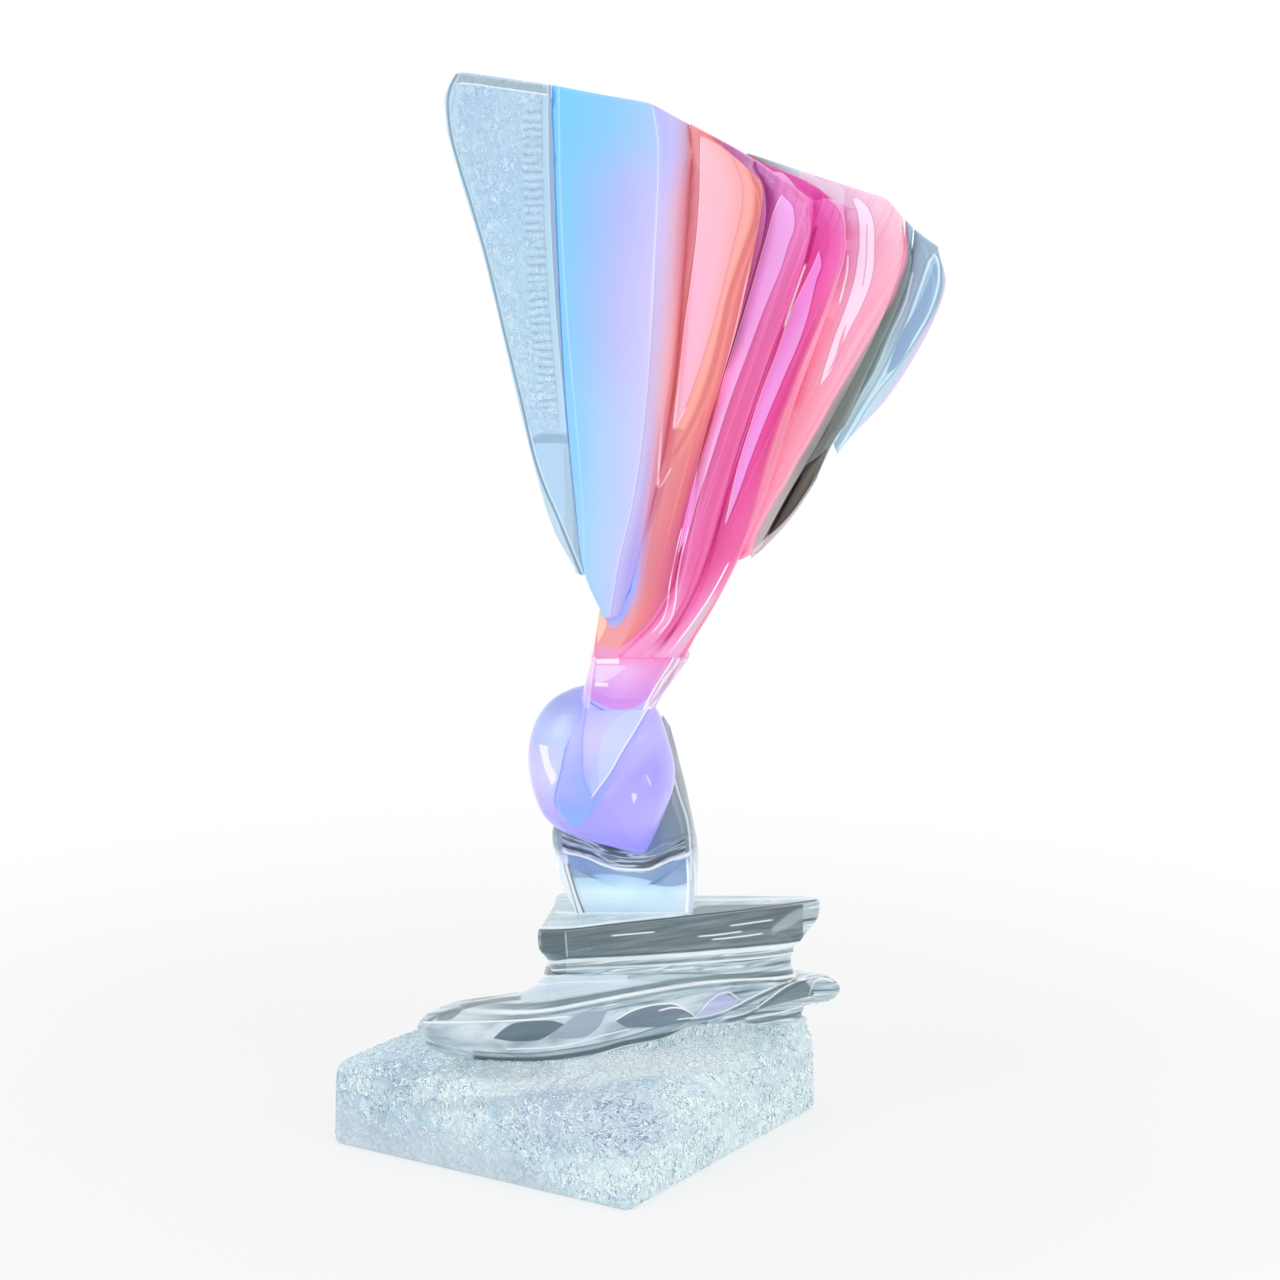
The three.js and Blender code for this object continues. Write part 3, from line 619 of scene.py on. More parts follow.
def coral_zone(f):
    f.colour = f.graded(
        f.share(SALMON_START, CORAL_EDGE),
        (12, (0, 240, 158, 160), (0.5, 236, 130, 134), (1, 226, 118, 158)),
        (45, (0, 200, 172, 226), (0.3, 226, 132, 146), (0.7, 222, 110, 134), (1, 204, 86, 138)),
        (90, (0, 214, 160, 200), (0.3, 230, 140, 148), (0.7, 228, 120, 130), (1, 204, 88, 128)),
        (
            150, (0, 226, 150, 158), (0.15, 222, 130, 138), (0.5, 240, 154, 148), (0.85, 234, 128, 126),
            (1, 206, 92, 116),
        ),
        (285, (0, 214, 148, 160), (0.25, 236, 148, 154), (0.85, 232, 132, 128), (1, 222, 108, 118)),
    )
    streak(f, (216, 108, 116), (248, 166, 156))
    f.fill(
        CORAL_REFLECTION_RIGHT, CORAL_BAND_RIGHT,
        (130, (0, 244, 158, 165), (0.6, 250, 172, 160), (1, 240, 142, 132)),
        (260, (0, 248, 164, 166), (0.6, 254, 174, 168), (1, 236, 142, 136)),
    )
    f.paint(f.thread(CORAL_BAND_RIGHT, 2.6, 1.2) * 0.8, (218, 122, 122))
    f.paint(f.thread(CORAL_BAND_RIGHT, 1.8, 4) * 0.6, (246, 142, 146))
    # A painted highlight along the coral pleat's right edge
    f.paint(f.thread(CORAL_EDGE, 1, -1) * f.band(f.rise, 140, 215, 30), (255, 184, 196))
    # Pale pink painted reflection on the coral pleat's face, with its outline
    f.fill(
        CORAL_REFLECTION_LEFT, CORAL_REFLECTION_RIGHT,
        (130, (0, 250, 184, 212), (1, 252, 184, 208)),
        (200, (0, 253, 186, 214), (0.6, 254, 186, 208), (1, 253, 174, 184)),
        (270, (0, 254, 194, 208), (0.6, 254, 186, 198), (1, 253, 172, 177)),
    )
    f.paint(f.thread(CORAL_REFLECTION_LEFT, 0.7, -0.4), (253, 210, 226))
    f.paint(f.thread(CORAL_REFLECTION_LEFT, 0.6, -1.1) * 0.4, (180, 110, 120))
    f.paint(f.thread(CORAL_REFLECTION_RIGHT, 0.6, 0.2) * 0.4, (200, 122, 128))
    for v_left, v_right in (
        (CORAL_REFLECTION_LEFT[:3], CORAL_REFLECTION_RIGHT[:2]),
        (SECOND_V_LEFT, SECOND_V_RIGHT),
    ):
        foot = v_left[0][0]
        fading = 1 - f.step(f.rise, foot + 8, foot + 48)
        f.paint(f.thread(v_left, 1.4, -0.3) * fading, (254, 232, 240))
        f.paint(f.thread(v_right, 1, 0.3) * fading, (252, 206, 214))
    leaf_right = [(17, 22.2), (23, 27.7), (32, 31.1), (41, 34.4), (54, 35), (62, 37)]
    leaf_left = [(17, 21.9), (20, 18), (25, 14), (34, 11), (44, 6), (62, 0)]
    f.paint(f.blade(leaf_left, leaf_right, 1.2), (176, 172, 240))
    f.paint(f.thread(leaf_right, 4, -2.6) * 0.8, (166, 188, 253))
    peach_left = [(8, 12.2), (20, 11.5), (33, 11)]
    peach_right = [(8, 12.4), (14, 15.5), (19, 17.2), (25, 14.5), (33, 11.2)]
    f.paint(f.blade(peach_left, peach_right, 0.8), (254, 204, 182))
    f.paint(1 - f.step(f.rise, 3, 9), (236, 158, 198))


def lilac_zone(f):
    # The dark maroon at the zone's left edge is painted shadow that the coral pleat casts on the lilac one
    f.colour = f.graded(
        f.share(CORAL_EDGE, LILAC_STRIP),
        (4, (0, 240, 156, 202), (0.5, 243, 160, 210), (1, 240, 142, 200)),
        (14, (0, 234, 138, 186), (0.5, 242, 160, 210), (1, 240, 146, 204)),
        (50, (0, 206, 88, 146), (0.5, 230, 112, 178), (1, 232, 98, 168)),
        (120, (0, 150, 36, 88), (0.2, 196, 84, 150), (0.6, 228, 100, 166), (1, 224, 92, 158)),
        (200, (0, 150, 44, 98), (0.3, 186, 84, 150), (0.75, 232, 112, 182), (1, 222, 96, 168)),
        (250, (0, 176, 90, 150), (0.4, 194, 108, 184), (0.8, 230, 126, 200), (1, 224, 108, 180)),
    )
    streak(f, (208, 70, 146), (244, 150, 206))
    # Lilac face of the pleat: its own lilac, lightened into a painted highlight
    f.fill(
        LILAC_LEFT, LILAC_RIGHT,
        (80, (0, 250, 186, 242)),
        (200, (0, 248, 170, 242)),
        (250, (0, 244, 174, 243)),
    )
    f.paint(f.thread(LILAC_LEFT, 0.8, -0.5), (251, 210, 243))
    f.paint(f.thread(LILAC_LEFT, 0.6, -1.2) * 0.4, (160, 70, 130))
    f.paint(f.thread(LILAC_RIGHT, 0.6, 0.2) * 0.5, (180, 80, 140))
    white_left = [(14, 43), (20, 48), (27, 50.8), (40, 52.4), (53, 54.7), (70, 59)]
    # White lines of painted highlight low on the lilac zone
    for offset in (0, 4):
        f.paint(f.thread(white_left, 0.8, offset) * 0.9, HIGHLIGHT_WHITE)


def magenta_zone(f):
    strips = f.graded(
        f.share(LILAC_STRIP, MAGENTA_CREASE),
        (90, (0, 222, 86, 152), (0.5, 236, 108, 172), (1, 226, 88, 160)),
        (180, (0, 232, 104, 172), (0.35, 218, 82, 152), (0.7, 236, 108, 176), (1, 204, 56, 136)),
        (240, (0, 240, 128, 196), (0.6, 226, 96, 182), (1, 218, 86, 170)),
    )
    broad = f.graded(
        f.share(MAGENTA_CREASE, HOT_RIGHT),
        (15, (0, 242, 136, 200), (1, 246, 156, 210)),
        (60, (0, 222, 80, 154), (0.5, 234, 90, 166), (1, 234, 106, 166)),
        (
            130, (0, 208, 62, 146), (0.45, 226, 66, 156), (0.6, 240, 70, 166), (0.9, 214, 60, 138),
            (1, 232, 104, 152),
        ),
        (
            170, (0, 208, 62, 146), (0.4, 224, 70, 158), (0.65, 240, 74, 168), (0.85, 216, 66, 142),
            (1, 236, 110, 158),
        ),
        (215, (0, 214, 84, 160), (0.5, 236, 96, 182), (0.7, 242, 98, 187), (1, 232, 110, 176)),
        (240, (0, 230, 110, 188), (0.5, 230, 98, 184), (1, 228, 110, 186)),
    )
    f.colour = f.mix(f.past(MAGENTA_CREASE, -0.6, 0.6), strips, broad)
    streak(f, (206, 56, 140), (243, 116, 190))
    # Dark thread along the crease: painted shade
    f.paint(f.thread(MAGENTA_CREASE, 2.2, 0.5) * 0.7, (184, 42, 114))
    # Pale lilac painted highlight with its light and dark outline
    f.paint(f.blade(MAGENTA_HIGHLIGHT_LEFT, MAGENTA_HIGHLIGHT_RIGHT), (247, 164, 244))
    f.paint(f.thread(MAGENTA_HIGHLIGHT_LEFT, 0.7, -0.4) * 0.9, (252, 214, 248))
    f.paint(f.thread(MAGENTA_HIGHLIGHT_RIGHT, 0.7, 0.2) * 0.7, (190, 50, 128))
    # A thin white painted highlight needle
    needle = [(178, 117), (190, 121), (200, 124.6), (211, 128.6)]
    f.paint(f.thread(needle, 1.3), HIGHLIGHT_WHITE)
    edge_left = [(-1, 49), (11, 59), (21, 67), (34, 76), (50, 85)]
    right = f.past(edge_left, -0.4, 0.4)
    f.paint(right * f.band(f.rise, -5, 32, 10), (220, 186, 208))
    # A white painted highlight along the glassy rim
    f.paint(f.thread(edge_left, 1), HIGHLIGHT_WHITE)
    f.paint(1 - f.step(f.rise, -1, 14), (240, 172, 218))


def pink_zone(f):
    f.colour = f.graded(
        f.share(HOT_RIGHT, SMOKE_START),
        (70, (0, 238, 128, 172), (0.5, 249, 150, 188), (1, 232, 152, 175)),
        (120, (0, 234, 124, 156), (0.4, 240, 146, 172), (0.8, 252, 164, 190), (1, 236, 148, 172)),
        (
            170, (0, 240, 130, 168), (0.12, 250, 168, 196), (0.25, 238, 158, 186), (0.6, 243, 160, 188),
            (0.8, 254, 182, 208), (0.93, 238, 158, 184), (1, 220, 146, 170),
        ),
        (
            215, (0, 232, 150, 192), (0.25, 228, 168, 200), (0.6, 240, 172, 198), (0.8, 250, 184, 208),
            (1, 240, 164, 192),
        ),
        (250, (0, 228, 172, 214), (0.3, 232, 190, 220), (0.6, 243, 206, 227), (1, 248, 200, 222)),
    )
    streak(f, (236, 144, 172), (252, 184, 206))
    f.paint(f.thread(SMOKE_START, 2.2, -1.6) * 0.5, (252, 190, 210))
    # Pale painted highlight with its outline
    f.paint(f.blade(PINK_HIGHLIGHT_LEFT, PINK_HIGHLIGHT_RIGHT), (250, 228, 249))
    f.paint(f.thread(PINK_HIGHLIGHT_LEFT, 0.7, -0.3) * 0.6, (206, 142, 170))
    f.paint(f.thread(PINK_HIGHLIGHT_RIGHT, 0.7, 0.2) * 0.6, (214, 150, 180))
    inner = [(198, 161), (206, 162.3), (218, 163.4), (232, 163.5)]
    f.paint(f.thread(inner, 0.8) * 0.7, (204, 160, 190))
    cleft_left = [(150, 140.8), (160, 145.6), (170, 148.6), (178, 151.8)]
    cleft_right = [(150, 141), (160, 147.6), (170, 150.4), (178, 152)]
    f.paint(f.blade(cleft_left, cleft_right, 0.6) * 0.8, (240, 142, 185))
    # A white painted highlight needle with a darker edge
    needle = [(189, 148.2), (198, 150.8), (207, 152.8), (214, 153.2)]
    f.paint(f.thread(needle, 2.2), (206, 142, 168))
    f.paint(f.thread(needle, 1.3), HIGHLIGHT_WHITE)


def smoke_zone(f):
    f.colour = f.graded(
        f.share(SMOKE_START, SMOKE_END),
        (70, (0, 186, 176, 180), (0.5, 160, 156, 158), (1, 172, 162, 170)),
        (110, (0, 170, 150, 154), (0.3, 126, 128, 126), (0.7, 116, 118, 116), (1, 140, 150, 150)),
        (170, (0, 190, 160, 168), (0.3, 122, 130, 128), (0.7, 128, 142, 140), (1, 160, 182, 186)),
        (215, (0, 196, 176, 186), (0.3, 124, 140, 142), (0.8, 130, 152, 158), (1, 150, 174, 190)),
    )
    f.fill(
        LENS_LEFT, LENS_RIGHT,
        (64, (0, 34, 28, 30), (0.4, 58, 48, 44), (0.8, 84, 74, 66), (1, 34, 30, 30)),
        (94, (0, 30, 26, 28), (0.3, 52, 46, 42), (0.6, 112, 102, 90), (0.85, 96, 88, 78), (1, 36, 32, 32)),
        soft=1,
    )
    beyond = f.past(LENS_RIGHT, 0.2, 0.7) * f.band(f.rise, 50, 104, 6)
    f.paint(beyond, f.ramp(
        f.step(f.rise, 60, 100), (0, 214, 200, 204), (0.6, 170, 166, 174), (1, 112, 124, 146),
    ))


def tip_zone(f):
    f.colour = f.ramp(
        f.step(f.rise, 100, 230), (0, 200, 226, 240), (0.4, 186, 214, 230), (0.75, 158, 186, 206),
        (1, 150, 178, 200),
    )
    f.paint(f.thread(SMOKE_END[:8], 1, 1) * 0.9, (226, 242, 246))
    f.paint(f.thread(TIP_BLADE_LEFT, 0.8, -1.1) * 0.5, (112, 142, 154))
    f.paint(f.blade(TIP_BLADE_LEFT, TIP_BLADE_RIGHT), f.ramp(
        f.step(f.rise, 105, 212), (0, 184, 222, 248), (0.6, 172, 210, 238), (1, 164, 200, 226),
    ))
    f.paint(f.thread(TIP_BLADE_LEFT, 1.4, 0.8), (210, 240, 250))
    f.paint(f.thread(TIP_BLADE_RIGHT, 1.4, -0.6), (208, 240, 250))
    f.paint(f.thread(TIP_BLADE_RIGHT, 0.8, 0.9) * 0.5, (118, 146, 168))
    f.paint(f.blade(TIP_CORE_LEFT, TIP_CORE_RIGHT, 0.8), (144, 176, 208))
    rim = [(100, 143), (108, 150), (138, 176), (165, 193), (193, 207.5), (205, 208)]
    f.paint(f.past(rim, -1, 0.6) * f.step(f.rise, 108, 125) * 0.8, (226, 206, 234))


def rim_zone(f):
    """The folded-over tops behind the coral, lilac and magenta pleats."""
    glass_low = [(94, 269), (102.5, 266.2), (114.8, 261.6), (127.6, 256.2)]
    f.paint(f.sheet(glass_low, [(94, 282), (127.6, 272)], 0.8), f.ramp(
        (f.across - 94) / 34,
        (0, 122, 126, 128), (0.35, 146, 160, 162), (0.7, 176, 192, 198), (1, 206, 210, 220),
    ))
    veil_low = [(126, 256.8), (138.2, 250.2), (147.5, 241.4), (151, 229.8)]
    veil_high = [(126, 270), (134.9, 257.6), (148.9, 252.6), (158.8, 245)]
    f.paint(f.sheet(veil_low, veil_high, 1.2) * 0.85, (230, 212, 232))
    sweep_low = [
        (99, 268.5), (103.5, 264), (109.6, 258), (115, 256.5), (123.7, 249.2), (129.1, 240), (131, 236),
    ]
    sweep_high = [(99, 269.5), (104, 266), (114.8, 260.8), (127.6, 256.2), (138.2, 250.2), (147.5, 241.4)]
    f.paint(f.sheet(sweep_low, sweep_high, 0.8), f.ramp(
        (f.across - 99) / 36, (0, 196, 104, 160), (0.4, 222, 112, 188), (1, 232, 98, 184),
    ))
    # A small painted highlight on the folded-over top
    spark_low = [(107.5, 259.4), (115.3, 256.6), (121, 253.2), (124.5, 250.4)]
    spark_high = [(107.5, 260), (114.8, 260), (119.9, 256.6), (124.5, 251)]
    f.paint(f.sheet(spark_low, spark_high), (253, 204, 240))


ZONES = [
    (BLUE_START, blue_zone),
    (SALMON_START, coral_zone),
    (CORAL_EDGE, lilac_zone),
    (LILAC_STRIP, magenta_zone),
    (HOT_RIGHT, pink_zone),
    (SMOKE_START, smoke_zone),
    (SMOKE_END, tip_zone),
]


def finish_pleat(name, first, last, clearness, rim=False):
    """Material of a pleat that shows the zones from number `first` to `last`."""
    f = Finish(name, NECK_TOP)
    (_, colours), *others = ZONES[first:last + 1]
    colours(f)
    for start, colours in others:
        before = f.colour
        colours(f)
        f.colour = f.mix(f.past(start, -0.4, 0.4), before, f.colour)
    if rim:
        rim_zone(f)
    return f.shaded(clearness, roughness=0.07)


PANEL_LEFT = [
    (76, -10), (106.7, -22.3), (145, -31.4), (183, -40.6), (222, -49.7), (252, -58.2), (275, -65.2),
    (290, -68.8), (305, -70), (313, -68.6), (320, -65),
]
PANEL_TOP = [(-71, 312), (-68, 317), (-63.7, 320.5), (-37.6, 317.6), (-11, 313.8)]


def finish_panel():
    f = Finish("clear_panel", NECK_TOP)
    margin = f.across - f.upright(BLUE_START)
    inner = f.across - f.upright(PANEL_LEFT)
    under = f.level(PANEL_TOP) - f.rise
    f.colour = f.graded(
        f.noise(f.stretched(22, 22, 40), 1),
        (60, (0.3, 190, 214, 230), (0.7, 178, 206, 230)),
        (110, (0.3, 190, 218, 242), (0.7, 178, 211, 240)),
        (200, (0.3, 182, 216, 234), (0.7, 184, 216, 243)),
        (300, (0.3, 188, 216, 234), (0.7, 174, 206, 236)),
    )
    hammered = f.step(inner, 2, 4) * f.step(-9 - margin, -1, 1) * f.step(f.rise, 115, 135)
    patchy = f.step(f.noise(f.stretched(9, 9, 14), 1), 0.38, 0.55)
    shown = hammered * (0.1 + 0.45 * patchy)
    # Crooked lines of painted shade and glint over the hammered relief, which is also the bump
    grain = f.strokes(f.stretched(3, 3, 4.2, 16), shown, (146, 180, 206), (222, 241, 252))
    beads = f.noise(f.stretched(6, 6, 9), 1)
    f.paint(f.band(inner, 3, 10, 3) * f.band(beads, 0.5, 0.6, 0.06) * 0.6, (206, 230, 243))
    wobble = f.noise(f.stretched(9, 9, 9), 1)
    phase = f.rise * (2 * math.pi / RUNG_PITCH) + wobble * 6
    rungs = phase.math("SINE", phase)
    ladder = f.band(margin, -19.5, -9, 2) * f.step(f.rise, 128, 140) * f.step(wobble, 0.36, 0.44)
    # Each rung is painted light on one side and dark on the other: painted highlight and shade of its
    # relief
    f.paint(ladder * f.step(rungs, 0.3, 0.9) * 0.45, (212, 234, 250))
    f.paint(ladder * (1 - f.step(rungs, -0.95, -0.5)) * 0.6, (146, 176, 206))
    strip = f.graded(f.rise, (90, (0, 164, 186, 204)), (150, (0, 150, 178, 206)))
    # Painted shade under the rounded top rim and a painted highlight line on its rounding
    f.paint(f.band(under, 0.5, 4.4, 0.6) * f.step(inner, 0, 1), (166, 186, 198))
    f.paint(f.band(under, 4.4, 5.2, 0.4) * f.step(inner, 4, 6), (234, 246, 252))
    f.paint(f.band(margin, -5.4, 10, 0.8), strip)
    f.paint(f.band(margin, -6, -5.4, 0.4) * 0.7, (206, 228, 242))
    shelf_low = [(-25, 117), (-18, 119.5), (0, 119.5), (5, 118)]
    shelf_high = [(-25, 122), (-18, 125.4), (0, 125), (5, 124)]
    f.paint(f.sheet(shelf_low, shelf_high, 3) * 0.7, (140, 168, 196))
    tongue_left = [(72, -8.6), (86, -13.6), (100, -17.3), (114, -21.1), (120, -22)]
    tongue_right = [(72, -8.3), (81, -5.3), (100, -5.8), (114, -6.3), (120, -6)]
    below = 1 - f.step(f.rise, 116, 122)
    f.paint(below * 0.55, (162, 186, 208))
    f.paint(f.blade(tongue_left, tongue_right, 1), (180, 212, 238))
    # Light, dark and light lines along the rounded left edge: painted highlight and shade of its rounding
    f.paint((1 - f.step(inner, 0.2, 0.8)) * 0.8, (202, 226, 238))
    f.paint(f.band(inner, 1, 2.2, 0.8) * 0.85, (112, 146, 170))
    f.paint(f.band(inner, 2.4, 3.4, 0.6) * 0.8, (212, 235, 247))
    return f.shaded(clearness=0.1, roughness=0.14, bump=grain * hammered, bump_depth=2.2)


# Finishes of the stem

def finish_neck():
    f = Finish("neck", NECK_TOP)
    f.colour = f.graded(
        f.share([(-32, 6), (2, 11)], [(-32, 42), (2, 64)]),
        (-28, (0, 176, 170, 236), (0.3, 214, 150, 228), (0.7, 216, 160, 232), (1, 206, 196, 240)),
        (-20, (0, 208, 165, 236), (0.4, 226, 170, 240), (0.8, 214, 150, 226), (1, 220, 190, 222)),
        (-8, (0, 226, 172, 228), (0.4, 238, 186, 236), (0.75, 232, 152, 214), (1, 226, 184, 214)),
        (2, (0, 238, 160, 200), (0.4, 243, 158, 208), (0.8, 238, 132, 190), (1, 232, 160, 200)),
    )
    # Painted highlights: white bars, and a pale painted reflection of a window between them
    f.paint(f.sheet([(11.5, -2.6), (24, -2.5)], [(11.5, -0.3), (27, 0.8)], 1) * 0.9, (252, 250, 253))
    window_reflection_low = [(11, -14), (18.5, -11.5), (27.5, -5)]
    f.paint(f.sheet(window_reflection_low, [(11, -3.6), (27.5, -3.4)], 1) * 0.75, (242, 222, 252))
    f.paint(f.sheet([(10.6, -15.6), (18, -15.4)], [(10.6, -13.2), (18, -13.6)], 1) * 0.9, (252, 250, 253))
    low = [(7.6, -22.2), (16, -27.1), (24, -28.8), (34, -27.1), (42, -21)]
    high = [(8.2, -16.7), (16, -20.8), (24, -23.1), (34, -22.6), (42, -17.4)]
    f.paint(f.sheet(low, high, 1.5) * 0.85, (214, 148, 230))
    f.paint(1 - f.step(f.rise - f.level(low), -0.5, 0.5), (196, 190, 246))
    f.paint(f.seam(low, 1.6, -2.4) * (1 - f.step(f.across, 14, 20)), (140, 150, 226))
    # The clear right edge, with painted glints in its streaks and a painted highlight line along it
    edge = [(-30, 37), (-28, 38), (-18.6, 42.7), (-5, 51), (5, 57)]
    glassy = f.noise(f.stretched(1.4, 4, 14, -32), 1)
    f.paint(f.past(edge, -0.5, 0.5) * 0.9, f.ramp(
        glassy, (0.35, 196, 168, 196), (0.5, 226, 206, 224), (0.62, 251, 249, 252),
    ))
    f.paint(f.thread(edge, 1), HIGHLIGHT_WHITE)
    f.paint(f.thread([(-30, 6.8), (-22, 7.6), (-12, 8.8), (6, 11.6)], 0.9) * 0.8, (246, 226, 248))
    return f.shaded(clearness=0.3, roughness=0.06)


HORN_INNER = [(20, 65), (32, 65), (47, 64), (67, 58), (90, 52)]
FACE_LEFT = [(78, 9), (84, 5.8), (95, 3.6), (108, 3.6), (120, 4.8), (134, 7.1)]
FACE_RIGHT = [(78, 9.5), (83, 13), (91, 18.7), (102, 24.8), (117, 33.7), (134, 43.5)]


def finish_tongue():
    f = Finish("tongue", PEDESTAL_FOOT)
    f.colour = f.graded(
        f.share([(55, -12), (134, 2)], FACE_LEFT),
        (66, (0, 150, 178, 248), (1, 160, 180, 252)),
        (82, (0, 178, 186, 250), (1, 158, 186, 252)),
        (110, (0, 196, 198, 252), (1, 186, 188, 250)),
        (130, (0, 150, 160, 238), (1, 172, 178, 246)),
    )
    f.fill(
        FACE_LEFT, FACE_RIGHT,
        (85, (0, 180, 186, 248), (0.5, 192, 206, 252), (1, 180, 200, 250)),
        (110, (0, 216, 206, 250), (0.45, 218, 214, 252), (0.8, 216, 222, 248), (1, 206, 220, 248)),
        (130, (0, 200, 194, 248), (0.5, 204, 208, 244), (1, 200, 206, 244)),
    )
    pale_left = [(82, 11.5), (84, 11.9), (102, 13.1), (114, 15.9), (124, 23.7), (131, 38)]
    f.paint(f.blade(pale_left, FACE_RIGHT, 1.4) * 0.6, (216, 226, 250))
    f.paint(f.thread(FACE_LEFT, 1) * 0.5, (150, 156, 236))
    # A white painted highlight along the right edge of the face
    f.paint(f.thread(FACE_RIGHT, 1, -0.6), HIGHLIGHT_WHITE)
    f.paint(f.past(FACE_RIGHT, 0, 0.6), f.ramp(
        f.step(f.rise, 60, 105), (0, 150, 180, 253), (0.5, 168, 180, 252), (1, 190, 182, 251),
    ))
    f.paint(f.thread(FACE_RIGHT, 0.8, 0.9) * 0.6, (150, 150, 222))
    f.paint((1 - f.step(f.rise, 62, 76)) * 0.8, (150, 188, 254))
    return f.shaded(clearness=0.3, roughness=0.05)


def finish_bulb():
    f = Finish("bulb", PEDESTAL_FOOT)
    f.colour = f.graded(
        f.share([(30, -28), (130, -28)], [(30, 58), (130, 58)]),
        (40, (0.1, 186, 178, 250), (0.5, 176, 166, 252), (0.8, 168, 160, 252)),
        (60, (0, 196, 186, 248), (0.3, 186, 180, 250), (0.6, 192, 182, 252), (1, 198, 190, 250)),
        (
            85, (0, 216, 206, 246), (0.2, 212, 218, 250), (0.6, 194, 186, 252), (0.85, 180, 172, 253),
            (1, 204, 194, 250),
        ),
        (110, (0, 182, 194, 236), (0.25, 204, 220, 248), (0.6, 206, 204, 250), (1, 190, 186, 250)),
        (128, (0, 150, 160, 214), (0.3, 168, 178, 226), (0.7, 186, 176, 244), (1, 190, 182, 248)),
    )
    # Painted highlights: a large white shine on the upper left and two small ones
    shine_left = [(80, -13.8), (90, -17.9), (102, -20.8)]
    shine_right = [(80, -13.4), (85, -11), (93, -14.6), (102, -16)]
    f.paint(f.blade(shine_left, shine_right, 1), (250, 250, 254))
    for left, right in (
        ([(79, 42), (86, 39.4)], [(79, 42.3), (82, 41.6), (86, 39.8)]),
        ([(70, 32.2), (76, 31)], [(70, 32.6), (74, 34.2), (76, 33.6)]),
    ):
        f.paint(f.blade(left, right, 0.6), (244, 242, 254))
    return f.shaded(clearness=0.3, roughness=0.05)


def finish_pedestal():
    f = Finish("pedestal", PEDESTAL_FOOT)
    f.colour = f.graded(
        f.share([(0, -3), (110, -3)], [(0, 69), (110, 69)]),
        (0, (0, 200, 220, 236), (0.5, 190, 216, 236), (1, 210, 228, 240)),
        (14, (0, 216, 240, 248), (0.4, 220, 249, 252), (0.75, 202, 234, 248), (1, 232, 244, 248)),
        (22, (0, 186, 214, 234), (0.5, 184, 218, 242), (1, 164, 192, 214)),
        (34, (0, 140, 158, 176), (0.5, 134, 160, 190), (1, 124, 140, 154)),
        (70, (0, 124, 136, 146), (0.5, 120, 132, 140), (1, 150, 160, 168)),
        (110, (0, 134, 144, 154), (1, 158, 164, 176)),
    )
    pale_top = [(-4, 23), (19, 22), (37, 19.8), (53, 17.4), (66, 20)]
    blue_top = [(-8, 33), (4, 30), (19, 24.3), (37, 22.8), (56, 29.7), (66, 33)]
    f.paint(f.sheet(pale_top, blue_top, 1.2), (140, 166, 200))
    dark_top = [(-10, 46), (4, 42), (19, 37), (37, 32), (50, 34), (62, 42)]
    arcs = f.noise(f.vector(f.across / 30, 0, (f.rise - f.level(blue_top)) / 2.6), 1)
    f.paint(f.sheet(blue_top, dark_top, 1), f.ramp(
        arcs, (0.38, 72, 80, 88), (0.47, 104, 114, 122), (0.53, 214, 224, 230), (0.6, 120, 130, 138),
    ))
    # A white painted highlight line between the blue band and the dark arcs
    f.paint(f.seam(blue_top, 1.4, 1.2), (246, 250, 252))
    # White strip at the left edge and white lines at the right edge: painted highlights on the chamfers
    left_edge = [(0, 5), (14, 0), (30, -4.5)]
    left = f.step(f.upright(left_edge) - f.across, -0.4, 0.4)
    f.paint(left * (1 - f.step(f.rise, 30, 36)), (240, 244, 248))
    f.paint(f.thread(left_edge, 1.2), (120, 132, 146))
    f.paint(f.thread([(0, 1), (14, -2.6), (30, -7)], 1) * 0.8, (150, 160, 176))
    right_edge = [(0, 62.5), (20, 63.5), (32, 63)]
    f.paint(f.thread(right_edge, 1.4), (252, 253, 255))
    right = f.past(right_edge, 0.8, 1.4)
    f.paint(right * (1 - f.step(f.rise, 30, 36)) * 0.7, (196, 206, 218))
    # A white painted highlight along the foot
    f.paint(f.band(f.rise, 0.4, 2, 0.6) * f.band(f.across, 2, 64, 1), (252, 253, 255))
    f.paint(f.thread(HORN_INNER, 1.4) * 0.8, (236, 240, 243))
    f.paint(f.past(HORN_INNER, 1, 1.6) * f.step(f.rise, 30, 40) * 0.6, (186, 194, 200))
    return f.shaded(clearness=0.3, roughness=0.04)


# Finishes of the base

# The shapes in the clear tiers are drawn as seen from the front and a little above: their heights are
# counted along lines that fall towards the viewer by this share of the depth.
LEAN = 0.243

# Level lines of the tiers, from left to right: (place across, height over the tier's foot)
SLAB_EDGE = [(-21.5, 19.1), (-3.4, 19.3), (20.3, 21.4), (57.4, 24.7), (98.3, 28.4), (138, 32.6)]
SLAB_LOW = [(-20, -1), (-5.8, 2.9), (26.6, 3.3), (57.4, 5.2), (116.6, 9.4), (130, 10.5)]
SLAB_WAIST = [(-20, -1.5), (-5.8, 0.2), (26.6, 1.5), (57.4, 2.9), (116.5, 7.2), (130, 8.4)]
LIP_TOP = [
    (-92, 8.6), (-65, 10.6), (-44.4, 11.1), (-24, 12.4), (-3.6, 14), (28.7, 19), (48.7, 21.4), (73.4, 26.7),
    (98.1, 30.4), (125.9, 32.3), (150, 33),
]
LIP_LOW = [
    (-92, -2), (-74.9, -3.4), (-58.8, -6.8), (-32.1, -7.7), (-3.7, -5.2), (26.5, 0.2), (48.8, 6.5),
    (69.7, 9), (97.5, 8.9), (140, 9),
]
WAIST_LOW = [(-40, 30), (-16.1, 36.9), (26.6, 40.4), (57.3, 41.9), (116.3, 46.3), (135, 48)]
